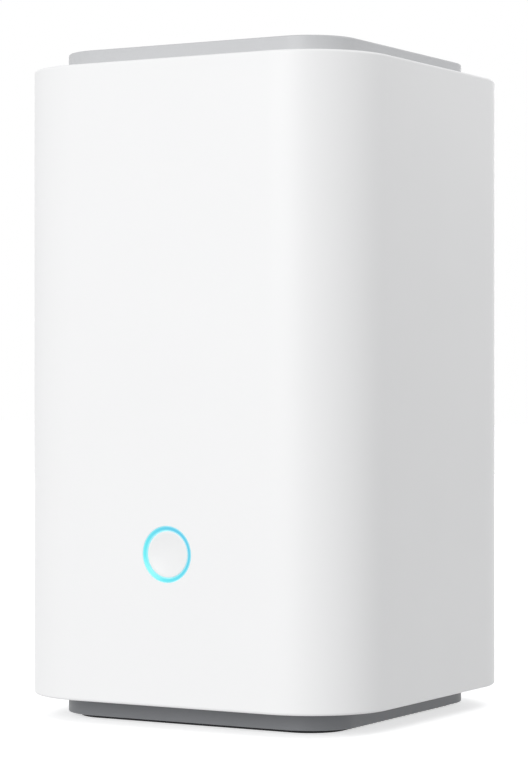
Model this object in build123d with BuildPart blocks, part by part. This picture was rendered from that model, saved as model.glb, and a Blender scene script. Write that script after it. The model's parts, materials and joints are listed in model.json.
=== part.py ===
"""Base station for wireless security cameras: a square tower with round corners.

A white sleeve slides over an inner frame. A light grey cap clips into its top, a dark grey
base closes it below, and a rubber ring under the base is the foot. On the front is a dished
push button inside a ring of light, and on the back a recessed panel of sockets below a
pattern of sound holes. The frame carries one upright circuit board, a small alarm speaker
and two antennas.

The origin is on the floor at the middle of the foot, +Z is up, the front faces -Y and all
sizes are in millimetres.
"""

from build123d import *
import os

# Body
body_width = 95.0
body_corner = 20.5
body_height = 162.0
wall = 2.2
shoulder = 2.2
rim_round = 0.65
foot_show = 0.9
base_show = 4.5
cap_show = 4.3
plinth_inset = 8.4
side_count = 4

half_body = body_width / 2
inner_face = half_body - wall
inner_width = body_width - 2 * wall
inner_corner = body_corner - wall
sleeve_bottom = foot_show + base_show
sleeve_top = body_height - cap_show
sleeve_height = sleeve_top - sleeve_bottom
shoulder_underside = sleeve_top - shoulder
plinth_width = body_width - 2 * plinth_inset
plinth_corner = body_corner - plinth_inset

# Posts of the frame, and the screws that hold the sleeve and the base to them
post_inset = 9.1
post_diameter = 7.6
case_shank = 2.5
case_head = 5.0
case_head_height = 1.8
case_clearance = 0.3
cross_length_share = 0.6
cross_width_share = 0.16
cross_depth_share = 0.55
head_round_share = 0.35
tip_chamfer_share = 0.2
cap_screw_length = 8.0
base_screw_length = 12.0
pilot_spare = 1.0

post_reach = plinth_width / 2 - post_inset
post_places = [(x, y) for x in (-post_reach, post_reach) for y in (-post_reach, post_reach)]

# Opening in the top of the sleeve, and the cap that closes it
opening_margin = 3.0
opening_corner = 9.0
cap_top = 2.0
cap_wall = 2.4
cap_round = 0.45
pocket_depth = 1.0
hook_width = 7.0
hook_thickness = 1.4
hook_nib = 0.9
hook_nib_height = 1.2
hook_margin = 2.5
hook_gap = 0.2

cap_opening = 2 * (post_reach - opening_margin)
cap_ceiling = body_height - cap_top
hook_spread = cap_opening / 2 - opening_corner - hook_width / 2 - hook_margin

# Base
flange_lift = 1.0
flange_thickness = 2.0
flange_gap = 0.25
base_floor = 2.4
base_wall = 2.2
base_round = 0.3
base_boss = 8.4
head_recess = 2.6
vent_width = 1.6
vent_length = 3.6
vent_count = 11
vent_offset = 3.0
vent_margin = 7.0

flange_bottom = sleeve_bottom + flange_lift
flange_top = flange_bottom + flange_thickness
vent_spacing = 2 * (half_body - body_corner - vent_margin) / (vent_count - 1)

# Foot
foot_inset = 3.0
foot_pocket = 0.7
foot_band = 12.0
foot_inner_corner = 5.0
foot_round = 0.3

foot_width = plinth_width - 2 * foot_inset
foot_corner = plinth_corner - foot_inset
foot_top = foot_show + foot_pocket
base_head_seat = foot_top + head_recess

# Front button, light ring and the small board behind them
button_z = 41.25
ring_hole = 13.3
ring_gap = 0.05
ring_bore = 11.2
ring_recess = 0.35
ring_lip = 1.1
hole_round = 0.15
skirt_outer = 17.4
skirt_inner = 15.0
button_diameter = 11.0
button_top = 1.7
button_wall = 1.0
button_flange = 1.0
button_flange_diameter = 14.2
button_seat = 0.1
button_travel = 0.8
button_round = 0.2
dish_diameter = 9.8
dish_depth = 0.5
stem_diameter = 3.4
stem_drop = 0.5

surface_y = -half_body
wall_y = -inner_face
step_y = wall_y + ring_lip
button_face_y = surface_y + ring_recess
flange_front_y = step_y + button_seat
flange_back_y = flange_front_y + button_flange
stem_end_y = flange_back_y + stem_drop
button_axis = Axis((0, 0, button_z), (0, 1, 0))

switch_width = 6.0
switch_height = 3.5
switch_round = 0.5
plunger_diameter = 3.0
plunger_length = 2.9
plunger_show = 1.3
plunger_gap = 0.2
plunger_spare = 0.2

switch_top_y = stem_end_y + plunger_show
front_board_y = switch_top_y + switch_height

led_count = 8
led_length = 2.0
led_width = 1.2
led_height = 0.8
led_gap = 0.3
gasket_gap = 0.3
gasket_wall = 1.4

skirt_end_y = front_board_y - led_height - led_gap
led_circle = (skirt_outer + skirt_inner) / 4
gasket_inner = skirt_outer / 2 + gasket_gap

front_board_width = 34.0
front_board_height = 24.0
front_board_thickness = 1.2
front_board_corner = 2.0
boss_diameter = 5.0
boss_spread = 13.5
front_shank = 1.7
front_head = 3.6
front_head_height = 1.3
front_screw_length = 6.0
screw_clearance = 0.2

front_board_back_y = front_board_y + front_board_thickness

# Circuit board on its standoffs, upright and square to the back
board_face = -7.0
board_thickness = 1.6
board_corner = 2.0
board_setback = 1.4
board_margin = 3.4
board_front_gap = 6.6
standoff = 4.0
standoff_diameter = 6.0
spine_thickness = 2.0
board_shank = 2.2
board_head = 4.0
board_head_height = 1.6
board_screw_length = 6.0
board_hole_inset = 4.0
board_hole_gap = 1.0

board_back = board_face - board_thickness
spine_face = board_back - standoff
spine_back = spine_face - spine_thickness

# Upper deck of the frame, and the alarm speaker that hangs below it at the back
deck_thickness = 2.0
deck_drop = 4.5
speaker_size = 34.0
speaker_corner = 5.0
speaker_drop = 2.0
speaker_rim = 1.2
speaker_wall = 2.0
speaker_gasket_thickness = 1.5
mesh_thickness = 0.4
mesh_overlap = 0.6
sound_hole = 1.6
sound_margin = 2.0
sound_rings = 4
holes_per_ring = 6
speaker_shank = 2.2
speaker_head = 4.2
speaker_head_height = 1.2
speaker_screw_length = 3.1
speaker_hole_inset = 3.4
cup_inset = 3.4
cup_gap = 0.35
cup_wall = 1.0
cup_straight = 1.8
cup_cone = 5.2
cup_collar = 1.6
yoke_radius = 9.0
yoke_depth = 7.4
yoke_floor = 1.8
yoke_bore = 6.0
yoke_seat = 1.2
magnet_radius = 4.8
magnet_height = 5.2
coil_inner = 5.1
coil_tube = 0.25
coil_winding = 0.25
coil_lift = 1.3
coil_length = 6.6
winding_length = 3.4
cone_thickness = 0.5
cone_rim = 0.8
surround_thickness = 0.4
surround_seat = 1.2
surround_roll = 1.8
dome_height = 1.6
lug_width = 8.0
lug_depth = 3.0
lug_reach = 2.0
lug_root = 0.8

rear_wall_y = inner_face
deck_top = shoulder_underside - deck_drop
deck_underside = deck_top - deck_thickness
speaker_z = deck_underside - speaker_drop - speaker_size / 2
speaker_axis = Axis((0, 0, speaker_z), (0, 1, 0))
mesh_y = rear_wall_y - mesh_thickness
rim_back_y = mesh_y - speaker_gasket_thickness
rim_front_y = rim_back_y - speaker_rim
speaker_wall_y = rim_front_y - speaker_wall
cup_radius = speaker_size / 2 - cup_inset
mesh_radius = cup_radius + mesh_overlap
hole_spacing = (cup_radius - sound_margin) / sound_rings
speaker_hole_reach = speaker_size / 2 - speaker_hole_inset

# Sockets in the back, spread evenly from the bottom of their window to below the speaker
window_rise = 5.6
window_corner = 4.0
window_side = 5.0
window_lip = 0.8
window_lip_thickness = 0.6
panel_recess = 1.0
panel_thickness = 1.6
panel_gap = 0.2
panel_round = 0.25
port_margin = 4.0
port_headroom = 5.0
port_clearance = 0.25
port_setback = 0.3

port_gap_count = 4
clip_count = 3
clip_steps = (-1, 0, 1)
clip_length = 6.0
clip_thickness = 1.1
clip_depth = 2.0
clip_nib = 0.7
clip_seat = 0.2

power_width = 9.0
power_height = 11.0
power_depth = 12.0
power_axis_height = 6.8
power_nose = 8.0
power_bore = 6.2
power_bore_depth = 9.6
power_pin_diameter = 2.0
power_pin_root = 2.5
power_pin_setback = 0.5
power_nose_length = 2.4

lan_width = 16.0
lan_height = 13.4
lan_depth = 21.5
lan_skin = 0.3
lan_lamp_width = 2.6
lan_lamp_height = 1.6
lan_lamp_depth = 4.0
lan_lamp_inset = 0.6
lan_floor = 2.2
lan_cavity_width = 12.0
lan_cavity_height = 7.4
lan_cavity_depth = 15.5
lan_key_width = 6.3
lan_key_height = 2.3
lan_contact_count = 8
lan_contact_pitch = 1.02
lan_contact_width = 0.5
lan_contact_thickness = 0.35
lan_contact_flat = 2.2
lan_contact_run = 9.0
lan_contact_rise = 1.5

card_width = 11.0
card_length = 15.0
card_thickness = 0.7
card_lip = 1.0
card_lip_length = 1.5
card_corner = 0.8
card_show = 0.4
card_push = 0.6
card_spare = 0.6
socket_width = 14.2
socket_height = 1.95
socket_depth = 15.2
socket_slot_width = 11.5
socket_slot_height = 1.35
socket_gap = 0.2
slot_clearance = 0.35

reset_width = 6.0
reset_height = 3.5
reset_depth = 3.6
reset_plunger_diameter = 1.9
reset_plunger_length = 3.1
reset_show = 1.3
reset_gap = 0.15
reset_travel = 0.3
pinhole = 1.8

panel_outer_y = half_body - panel_recess
panel_inner_y = panel_outer_y - panel_thickness
board_rear_y = panel_inner_y - board_setback
board_front_y = front_board_back_y + board_front_gap

window_bottom = sleeve_bottom + window_rise
window_top = speaker_z - speaker_size / 2 - port_headroom
window_height = window_top - window_bottom
port_heights = power_width + lan_width + 2 * socket_width + reset_width
port_gap = (window_height - 2 * port_margin - port_heights) / port_gap_count
power_z = window_bottom + port_margin + power_width / 2
lan_z = power_z + power_width / 2 + port_gap + lan_width / 2
card_low_z = lan_z + lan_width / 2 + port_gap + socket_width / 2
card_high_z = card_low_z + socket_width + port_gap
reset_z = card_high_z + socket_width / 2 + port_gap + reset_width / 2
window_z = (window_top + window_bottom) / 2
window_width = 2 * (max(lan_height + board_face, -board_face) + window_side)
board_bottom = power_z - power_width / 2 - board_margin
board_top = reset_z + reset_width / 2 + board_margin

lip_face_y = rear_wall_y + window_lip_thickness
lan_face_y = rear_wall_y - port_setback
lan_back_y = lan_face_y - lan_depth
socket_face_y = panel_inner_y - socket_gap
card_end_y = panel_outer_y + card_show
socket_slot_depth = card_length - card_end_y + socket_face_y + card_push + card_spare
reset_face_y = board_rear_y - screw_clearance
power_nose_y = rear_wall_y - port_setback
power_face_y = power_nose_y - power_nose_length
power_bore_end_y = power_nose_y - power_bore_depth
power_axis_x = board_face + power_axis_height
socket_axis_x = board_face + socket_height / 2
reset_axis_x = board_face + reset_height / 2
lan_axis_x = board_face + lan_height / 2

# The front corners have a screw each, and so has the upper rear corner. The lower rear one
# sits behind the network socket.
upper_hole_y = board_rear_y - 2 * board_hole_inset
lower_hole_y = lan_back_y - board_hole_gap - board_head / 2
board_holes = [
    (board_front_y + board_hole_inset, board_bottom + board_hole_inset),
    (board_front_y + board_hole_inset, board_top - board_hole_inset),
    (lower_hole_y, lan_z),
    (upper_hole_y, reset_z + reset_width / 2),
]

# Parts on the circuit board
chip_size = 14.0
chip_height = 1.2
pad_thickness = 1.0
pad_size = 13.0
sink_size = 26.0
sink_base = 2.0
sink_fin = 1.0
sink_fin_height = 8.0
sink_fin_count = 7
sink_gap = 4.0
sink_hole_inset = 3.0
sink_pin = 2.0
sink_pin_head = 3.6
sink_pin_head_height = 1.4
memory_length = 9.0
memory_width = 12.0
memory_height = 1.0
memory_gap = 3.0
radio_length = 14.0
radio_width = 11.0
radio_height = 2.6
radio_skin = 0.3
radio_gap = 1.0
magnetics_length = 7.2
magnetics_width = 12.6
magnetics_height = 3.6
magnetics_gap = 1.0
capacitor_diameter = 6.3
capacitor_height = 7.6
capacitor_round = 0.5
capacitor_gap = 1.5
coil_size = 7.0
coil_height = 3.6
coil_round = 1.0
ribbon_width = 6.5
ribbon_thickness = 0.3
ribbon_turn = 3.6
ribbon_side = 1.0
ribbon_exit = 0.5
ribbon_socket_height = 2.0
ribbon_socket_depth = 4.6
ribbon_socket_extra = 2.5
ribbon_socket_inset = 2.5
ribbon_rise = 1.0

sink_y = lan_back_y - sink_gap - sink_size / 2
sink_z = lan_z + magnetics_width / 2 + magnetics_gap + sink_size / 2
sink_face = board_face + chip_height + pad_thickness
radio_y = board_front_y + radio_gap + board_hole_inset + board_head / 2 + radio_length / 2
radio_z = board_top - radio_gap - radio_width / 2
magnetics_y = lower_hole_y - board_head / 2 - magnetics_gap - magnetics_length / 2
ribbon_x = board_face + ribbon_rise
ribbon_socket_y = board_front_y + ribbon_socket_inset

# Frame
deck_inset = 1.6
deck_corner = 9.0
lower_deck_thickness = 2.4
notch_half = 19.0
notch_gap = 1.6
spine_step = 7.0
spine_window_side = 5.0
spine_window_share = 0.42
spine_window_middle_shares = (0.27, 0.75)
spine_window_corner = 3.0
top_window_margin = 5.0
top_window_length = 28.0
top_window_corner = 3.0
gusset = 9.0
gusset_thickness = 1.6
speaker_wall_side = 3.0

deck_width = plinth_width - 2 * deck_inset
deck_half = deck_width / 2
lower_deck_top = flange_top + lower_deck_thickness
notch_y = front_board_back_y + front_head_height + notch_gap
speaker_wall_half = speaker_size / 2 + speaker_wall_side
speaker_wall_height = speaker_size + speaker_drop + speaker_wall_side
spine_front_y = board_front_y
spine_rear_y = board_rear_y - board_hole_inset
spine_upper_y = speaker_wall_y - spine_step
spine_step_z = board_top + spine_rear_y - spine_upper_y
spine_window_front_y = spine_front_y + standoff_diameter + spine_window_side
spine_window_rear_y = lower_hole_y - standoff_diameter / 2 - spine_window_side
spine_window_y = (spine_window_rear_y + spine_window_front_y) / 2
spine_height = deck_underside - lower_deck_top

# Antennas on the upper deck, and their thin leads
antenna_width = 8.0
antenna_end_gap = 6.2
antenna_thickness = 0.8
antenna_inset = 1.2
antenna_notch = 2.0
antenna_notch_length = 16.0
peg_diameter = 2.0
peg_height = 1.4
peg_inset = 4.0
peg_gap = 0.1
lead_diameter = 1.2
lead_turn = 4.0
lead_clear = 0.3
lead_overlap = 2.0
lead_spacing = 5.0
coax_plug = 3.0
coax_plug_height = 1.7
coax_drop = 8.0
coax_gap = 1.2

antenna_x = deck_half - antenna_inset - antenna_width / 2
antenna_length = 2 * (post_reach - post_diameter / 2 - antenna_end_gap)
lead_x = board_face + lead_clear + lead_diameter / 2
lead_z = deck_top + antenna_thickness + lead_diameter / 2
coax_z = board_top - coax_drop
first_lead_y = radio_y + radio_length / 2 + coax_gap + coax_plug / 2
lead_ys = (first_lead_y, first_lead_y + lead_spacing)
window_edge_x = lead_x - lead_turn

# Speaker leads
wire_diameter = 1.0
wire_spacing = 2.2
wire_turn = 2.4
wire_socket_width = 7.0
wire_socket_height = 5.0
wire_socket_depth = 4.5
wire_socket_drop = 2.0
wire_height = 1.4

lug_y = rim_front_y - cup_straight - cup_cone / 2
lug_z = speaker_z - cup_radius - lug_reach
lug_height = lug_reach + (cup_radius - yoke_radius - cup_wall) / 2 + lug_root
wire_socket_y = board_rear_y - 2 * board_hole_inset - board_head - wire_socket_width / 2
wire_socket_z = board_top - wire_socket_drop - wire_socket_depth / 2
wire_socket_top = board_top - wire_socket_drop


def screw(head, head_height, shank, length):
    """A cross-head screw that points down, with the underside of its head at the origin."""
    cross_length = head * cross_length_share
    cross_width = head * cross_width_share
    with BuildPart() as piece:
        with BuildSketch():
            Circle(head / 2)
        extrude(amount=head_height)
        fillet(piece.faces().sort_by(Axis.Z)[-1].edges(), head_height * head_round_share)
        with BuildSketch(Plane.XY.offset(head_height)):
            Rectangle(cross_length, cross_width)
            Rectangle(cross_width, cross_length)
        extrude(amount=-head_height * cross_depth_share, mode=Mode.SUBTRACT)
        with BuildSketch():
            Circle(shank / 2)
        extrude(amount=-length)
        chamfer(piece.faces().sort_by(Axis.Z)[0].edges(), shank * tip_chamfer_share)
    return piece.part


def board_block(y, z, length, width, height, corner=0.0, lift=0.0):
    """A block that stands on the circuit board: length along Y, width along Z, height along X."""
    with BuildPart() as block:
        with BuildSketch(Plane.YZ.offset(board_face + lift)):
            with Locations((y, z)):
                Rectangle(length, width)
        extrude(amount=height)
        if corner > 0:
            fillet(block.edges().filter_by(Axis.X), corner)
    return block.part


def lead(points, turn, diameter):
    """A round lead along straight runs joined by arcs."""
    with BuildPart() as cable:
        with BuildLine() as route:
            FilletPolyline(*points, radius=turn)
        with BuildSketch(Plane(origin=route.line @ 0, z_dir=route.line % 0)):
            Circle(diameter / 2)
        sweep()
    return cable.part


# Outer sleeve: a tube whose top turns in as a shoulder under the cap
with BuildPart() as outer_sleeve:
    with BuildSketch(Plane.XY.offset(sleeve_bottom)):
        RectangleRounded(body_width, body_width, body_corner)
    extrude(amount=sleeve_height)
    fillet(outer_sleeve.faces().filter_by(Axis.Z).edges(), rim_round)
    with BuildSketch(Plane.XY.offset(sleeve_bottom)):
        RectangleRounded(inner_width, inner_width, inner_corner)
    extrude(amount=sleeve_height - shoulder, mode=Mode.SUBTRACT)
    with BuildSketch(Plane.XY.offset(shoulder_underside)):
        RectangleRounded(cap_opening, cap_opening, opening_corner)
    extrude(amount=shoulder, mode=Mode.SUBTRACT)
    with BuildSketch(Plane.XY.offset(sleeve_top)):
        with Locations(*post_places):
            Circle(case_head / 2 + case_clearance)
    extrude(amount=-pocket_depth, mode=Mode.SUBTRACT)
    with BuildSketch(Plane.XY.offset(sleeve_top)):
        with Locations(*post_places):
            Circle(case_shank / 2 + case_clearance)
    extrude(amount=-shoulder, mode=Mode.SUBTRACT)
    with BuildSketch(Plane.XZ.offset(inner_face)):
        with Locations((-boss_spread, button_z), (boss_spread, button_z)):
            Circle(boss_diameter / 2)
    extrude(amount=wall_y - front_board_y)
    with BuildSketch(Plane.XZ.offset(-front_board_y)):
        with Locations((-boss_spread, button_z), (boss_spread, button_z)):
            Circle(front_shank / 2)
    extrude(amount=front_screw_length, mode=Mode.SUBTRACT)
    with BuildSketch(Plane.XZ.offset(inner_face)):
        with Locations((0, button_z)):
            Circle(ring_hole / 2)
    extrude(amount=wall, mode=Mode.SUBTRACT)
    front_edges = outer_sleeve.faces().sort_by(Axis.Y)[0].edges()
    fillet(front_edges.filter_by(GeomType.CIRCLE).sort_by(SortBy.LENGTH)[-1], hole_round)
    with BuildSketch(Plane.XZ.offset(-half_body)):
        with Locations((0, window_z)):
            RectangleRounded(window_width, window_height, window_corner)
    extrude(amount=half_body - lip_face_y, mode=Mode.SUBTRACT)
    with BuildSketch(Plane.XZ.offset(-half_body)):
        with Locations((0, window_z)):
            RectangleRounded(
                window_width - 2 * window_lip, window_height - 2 * window_lip,
                window_corner - window_lip,
            )
        with Locations((0, speaker_z)):
            Circle(sound_hole / 2)
            for ring in range(1, sound_rings + 1):
                with PolarLocations(ring * hole_spacing, holes_per_ring * ring):
                    Circle(sound_hole / 2)
    extrude(amount=wall, mode=Mode.SUBTRACT)

# Top cap: a shallow tray upside down, with hooks that catch under the shoulder
hook_face = cap_opening / 2 - hook_gap
with BuildPart() as hook_pair:
    with BuildSketch(Plane.XZ.offset(hook_spread - hook_width / 2)):
        with BuildLine():
            Polyline(
                (hook_face, cap_ceiling),
                (hook_face, shoulder_underside - hook_gap),
                (hook_face + hook_nib, shoulder_underside - hook_gap),
                (hook_face, shoulder_underside - hook_gap - hook_nib_height),
                (hook_face - hook_thickness, shoulder_underside - hook_gap - hook_nib_height),
                (hook_face - hook_thickness, cap_ceiling),
                close=True,
            )
        make_face()
    extrude(amount=hook_width)
    mirror(about=Plane.XZ)

with BuildPart() as top_cap:
    with BuildSketch(Plane.XY.offset(sleeve_top)):
        RectangleRounded(plinth_width, plinth_width, plinth_corner)
    extrude(amount=cap_show)
    fillet(top_cap.faces().sort_by(Axis.Z)[-1].edges(), cap_round)
    with BuildSketch(Plane.XY.offset(sleeve_top)):
        RectangleRounded(
            plinth_width - 2 * cap_wall, plinth_width - 2 * cap_wall, plinth_corner - cap_wall
        )
    extrude(amount=cap_show - cap_top, mode=Mode.SUBTRACT)
    with PolarLocations(0, side_count):
        add(hook_pair.part)

# Base: a plinth with a flange that closes the sleeve, and vents hidden in the flange
with BuildPart() as base_tray:
    with BuildSketch(Plane.XY.offset(foot_show)):
        RectangleRounded(plinth_width, plinth_width, plinth_corner)
    extrude(amount=flange_top - foot_show)
    fillet(base_tray.faces().sort_by(Axis.Z)[0].edges(), base_round)
    with BuildSketch(Plane.XY.offset(flange_bottom)):
        RectangleRounded(
            inner_width - 2 * flange_gap, inner_width - 2 * flange_gap, inner_corner - flange_gap
        )
    extrude(amount=flange_thickness)
    with BuildSketch(Plane.XY.offset(foot_show + base_floor)):
        RectangleRounded(
            plinth_width - 2 * base_wall, plinth_width - 2 * base_wall, plinth_corner - base_wall
        )
        with Locations(*post_places):
            Circle(base_boss / 2, mode=Mode.SUBTRACT)
    extrude(amount=flange_top - foot_show - base_floor, mode=Mode.SUBTRACT)
    with BuildSketch(Plane.XY.offset(foot_show)):
        RectangleRounded(foot_width, foot_width, foot_corner)
        RectangleRounded(
            foot_width - 2 * foot_band, foot_width - 2 * foot_band, foot_inner_corner,
            mode=Mode.SUBTRACT,
        )
    extrude(amount=foot_pocket, mode=Mode.SUBTRACT)
    with BuildSketch(Plane.XY.offset(foot_top)):
        with Locations(*post_places):
            Circle(case_head / 2 + case_clearance)
    extrude(amount=head_recess, mode=Mode.SUBTRACT)
    with BuildSketch(Plane.XY.offset(base_head_seat)):
        with Locations(*post_places):
            Circle(case_shank / 2 + case_clearance)
    extrude(amount=flange_top - base_head_seat, mode=Mode.SUBTRACT)
    vent_reach = plinth_width / 2 + vent_offset
    with BuildSketch(Plane.XY.offset(flange_bottom)):
        for side in (-vent_reach, vent_reach):
            with Locations((0, side)):
                with GridLocations(vent_spacing, vent_length, vent_count, 1):
                    SlotOverall(vent_length, vent_width, rotation=90)
            with Locations((side, 0)):
                with GridLocations(vent_length, vent_spacing, 1, vent_count):
                    SlotOverall(vent_length, vent_width)
    extrude(amount=flange_thickness, mode=Mode.SUBTRACT)

# Foot: a square rubber ring let into the base, which hides the base screws
with BuildPart() as rubber_foot:
    with BuildSketch():
        RectangleRounded(foot_width, foot_width, foot_corner)
        RectangleRounded(
            foot_width - 2 * foot_band, foot_width - 2 * foot_band, foot_inner_corner,
            mode=Mode.SUBTRACT,
        )
    extrude(amount=foot_top)
    fillet(rubber_foot.faces().sort_by(Axis.Z)[0].edges(), foot_round)

# Case screws, four above under the cap and four below under the foot
cap_screw = screw(case_head, case_head_height, case_shank, cap_screw_length)
with BuildPart() as cap_screws:
    with Locations(*[(x, y, sleeve_top - pocket_depth) for x, y in post_places]):
        add(cap_screw)

base_screw = screw(case_head, case_head_height, case_shank, base_screw_length)
base_screw = base_screw.rotate(Axis.X, 180)
with BuildPart() as base_screws:
    with Locations(*[(x, y, base_head_seat) for x, y in post_places]):
        add(base_screw)

# Light ring: a clear ring whose face slopes in to the button, on a skirt that takes the light
with BuildPart() as light_ring:
    with BuildSketch(Plane.XY.offset(button_z)):
        with BuildLine():
            Polyline(
                (ring_bore / 2, button_face_y),
                (ring_hole / 2 - ring_gap, surface_y),
                (ring_hole / 2 - ring_gap, wall_y),
                (skirt_outer / 2, wall_y),
                (skirt_outer / 2, skirt_end_y),
                (skirt_inner / 2, skirt_end_y),
                (skirt_inner / 2, step_y),
                (ring_bore / 2, step_y),
                close=True,
            )
        make_face()
    revolve(axis=button_axis)

# Button: a dished disc with a flange that keeps it in, and a stem that works the switch
with BuildPart() as button_cap:
    with BuildSketch(Plane.XY.offset(button_z)):
        with BuildLine():
            TangentArc(
                (0, button_face_y + dish_depth), (dish_diameter / 2, button_face_y), tangent=(1, 0)
            )
            Polyline(
                (dish_diameter / 2, button_face_y),
                (button_diameter / 2 - button_round, button_face_y),
                (button_diameter / 2, button_face_y + button_round),
                (button_diameter / 2, flange_front_y),
                (button_flange_diameter / 2, flange_front_y),
                (button_flange_diameter / 2, flange_back_y),
                (button_diameter / 2 - button_wall, flange_back_y),
                (button_diameter / 2 - button_wall, button_face_y + button_top),
                (stem_diameter / 2, button_face_y + button_top),
                (stem_diameter / 2, stem_end_y),
                (0, stem_end_y),
                (0, button_face_y + dish_depth),
            )
        make_face()
    revolve(axis=button_axis)

# Foam ring that keeps the light inside the skirt
with BuildPart() as light_gasket:
    with BuildSketch(Plane.XZ.offset(-front_board_y)):
        with Locations((0, button_z)):
            Circle(gasket_inner + gasket_wall)
            Circle(gasket_inner, mode=Mode.SUBTRACT)
    extrude(amount=front_board_y - wall_y)

# Front board with its lamps, switch and connector
with BuildPart() as front_board:
    with BuildSketch(Plane.XZ.offset(-front_board_back_y)):
        with Locations((0, button_z)):
            RectangleRounded(front_board_width, front_board_height, front_board_corner)
        with Locations((-boss_spread, button_z), (boss_spread, button_z)):
            Circle(front_shank / 2 + screw_clearance, mode=Mode.SUBTRACT)
    extrude(amount=front_board_thickness)

with BuildPart() as ring_leds:
    with BuildSketch(Plane.XZ.offset(-front_board_y)):
        with Locations((0, button_z)):
            with PolarLocations(led_circle, led_count):
                Rectangle(led_width, led_length)
    extrude(amount=led_height)

with BuildPart() as front_switch:
    with BuildSketch(Plane.XZ.offset(-front_board_y)):
        with Locations((0, button_z)):
            RectangleRounded(switch_width, switch_width, switch_round)
    extrude(amount=switch_height)
    with BuildSketch(Plane.XZ.offset(-switch_top_y)):
        with Locations((0, button_z)):
            Circle(plunger_diameter / 2 + plunger_gap)
    plunger_room = plunger_length - plunger_show + button_travel + plunger_spare
    extrude(amount=-plunger_room, mode=Mode.SUBTRACT)

with BuildPart() as front_switch_plunger:
    with BuildSketch(Plane.XZ.offset(-stem_end_y)):
        with Locations((0, button_z)):
            Circle(plunger_diameter / 2)
    extrude(amount=-plunger_length)

front_screw = screw(front_head, front_head_height, front_shank, front_screw_length)
front_screw = front_screw.rotate(Axis.X, -90)
with BuildPart() as front_board_screws:
    with Locations(*[(x, front_board_back_y, button_z) for x in (-boss_spread, boss_spread)]):
        add(front_screw)

ribbon_y = front_board_back_y + ribbon_side
with BuildPart() as front_connector:
    with BuildSketch(Plane.XZ.offset(-front_board_back_y)):
        with Locations((ribbon_exit + ribbon_socket_depth / 2, button_z)):
            Rectangle(ribbon_socket_depth, ribbon_width + ribbon_socket_extra)
    extrude(amount=-ribbon_socket_height)

with BuildPart() as ribbon_cable:
    with BuildSketch(Plane.XY.offset(button_z - ribbon_width / 2)):
        with BuildLine():
            FilletPolyline(
                (ribbon_exit, ribbon_y),
                (ribbon_x, ribbon_y),
                (ribbon_x, ribbon_socket_y),
                radius=ribbon_turn,
            )
        trace(line_width=ribbon_thickness)
    extrude(amount=ribbon_width)

ribbon_socket = board_block(
    ribbon_socket_y + ribbon_socket_depth / 2, button_z,
    ribbon_socket_depth, ribbon_width + ribbon_socket_extra, ribbon_socket_height,
)

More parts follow.
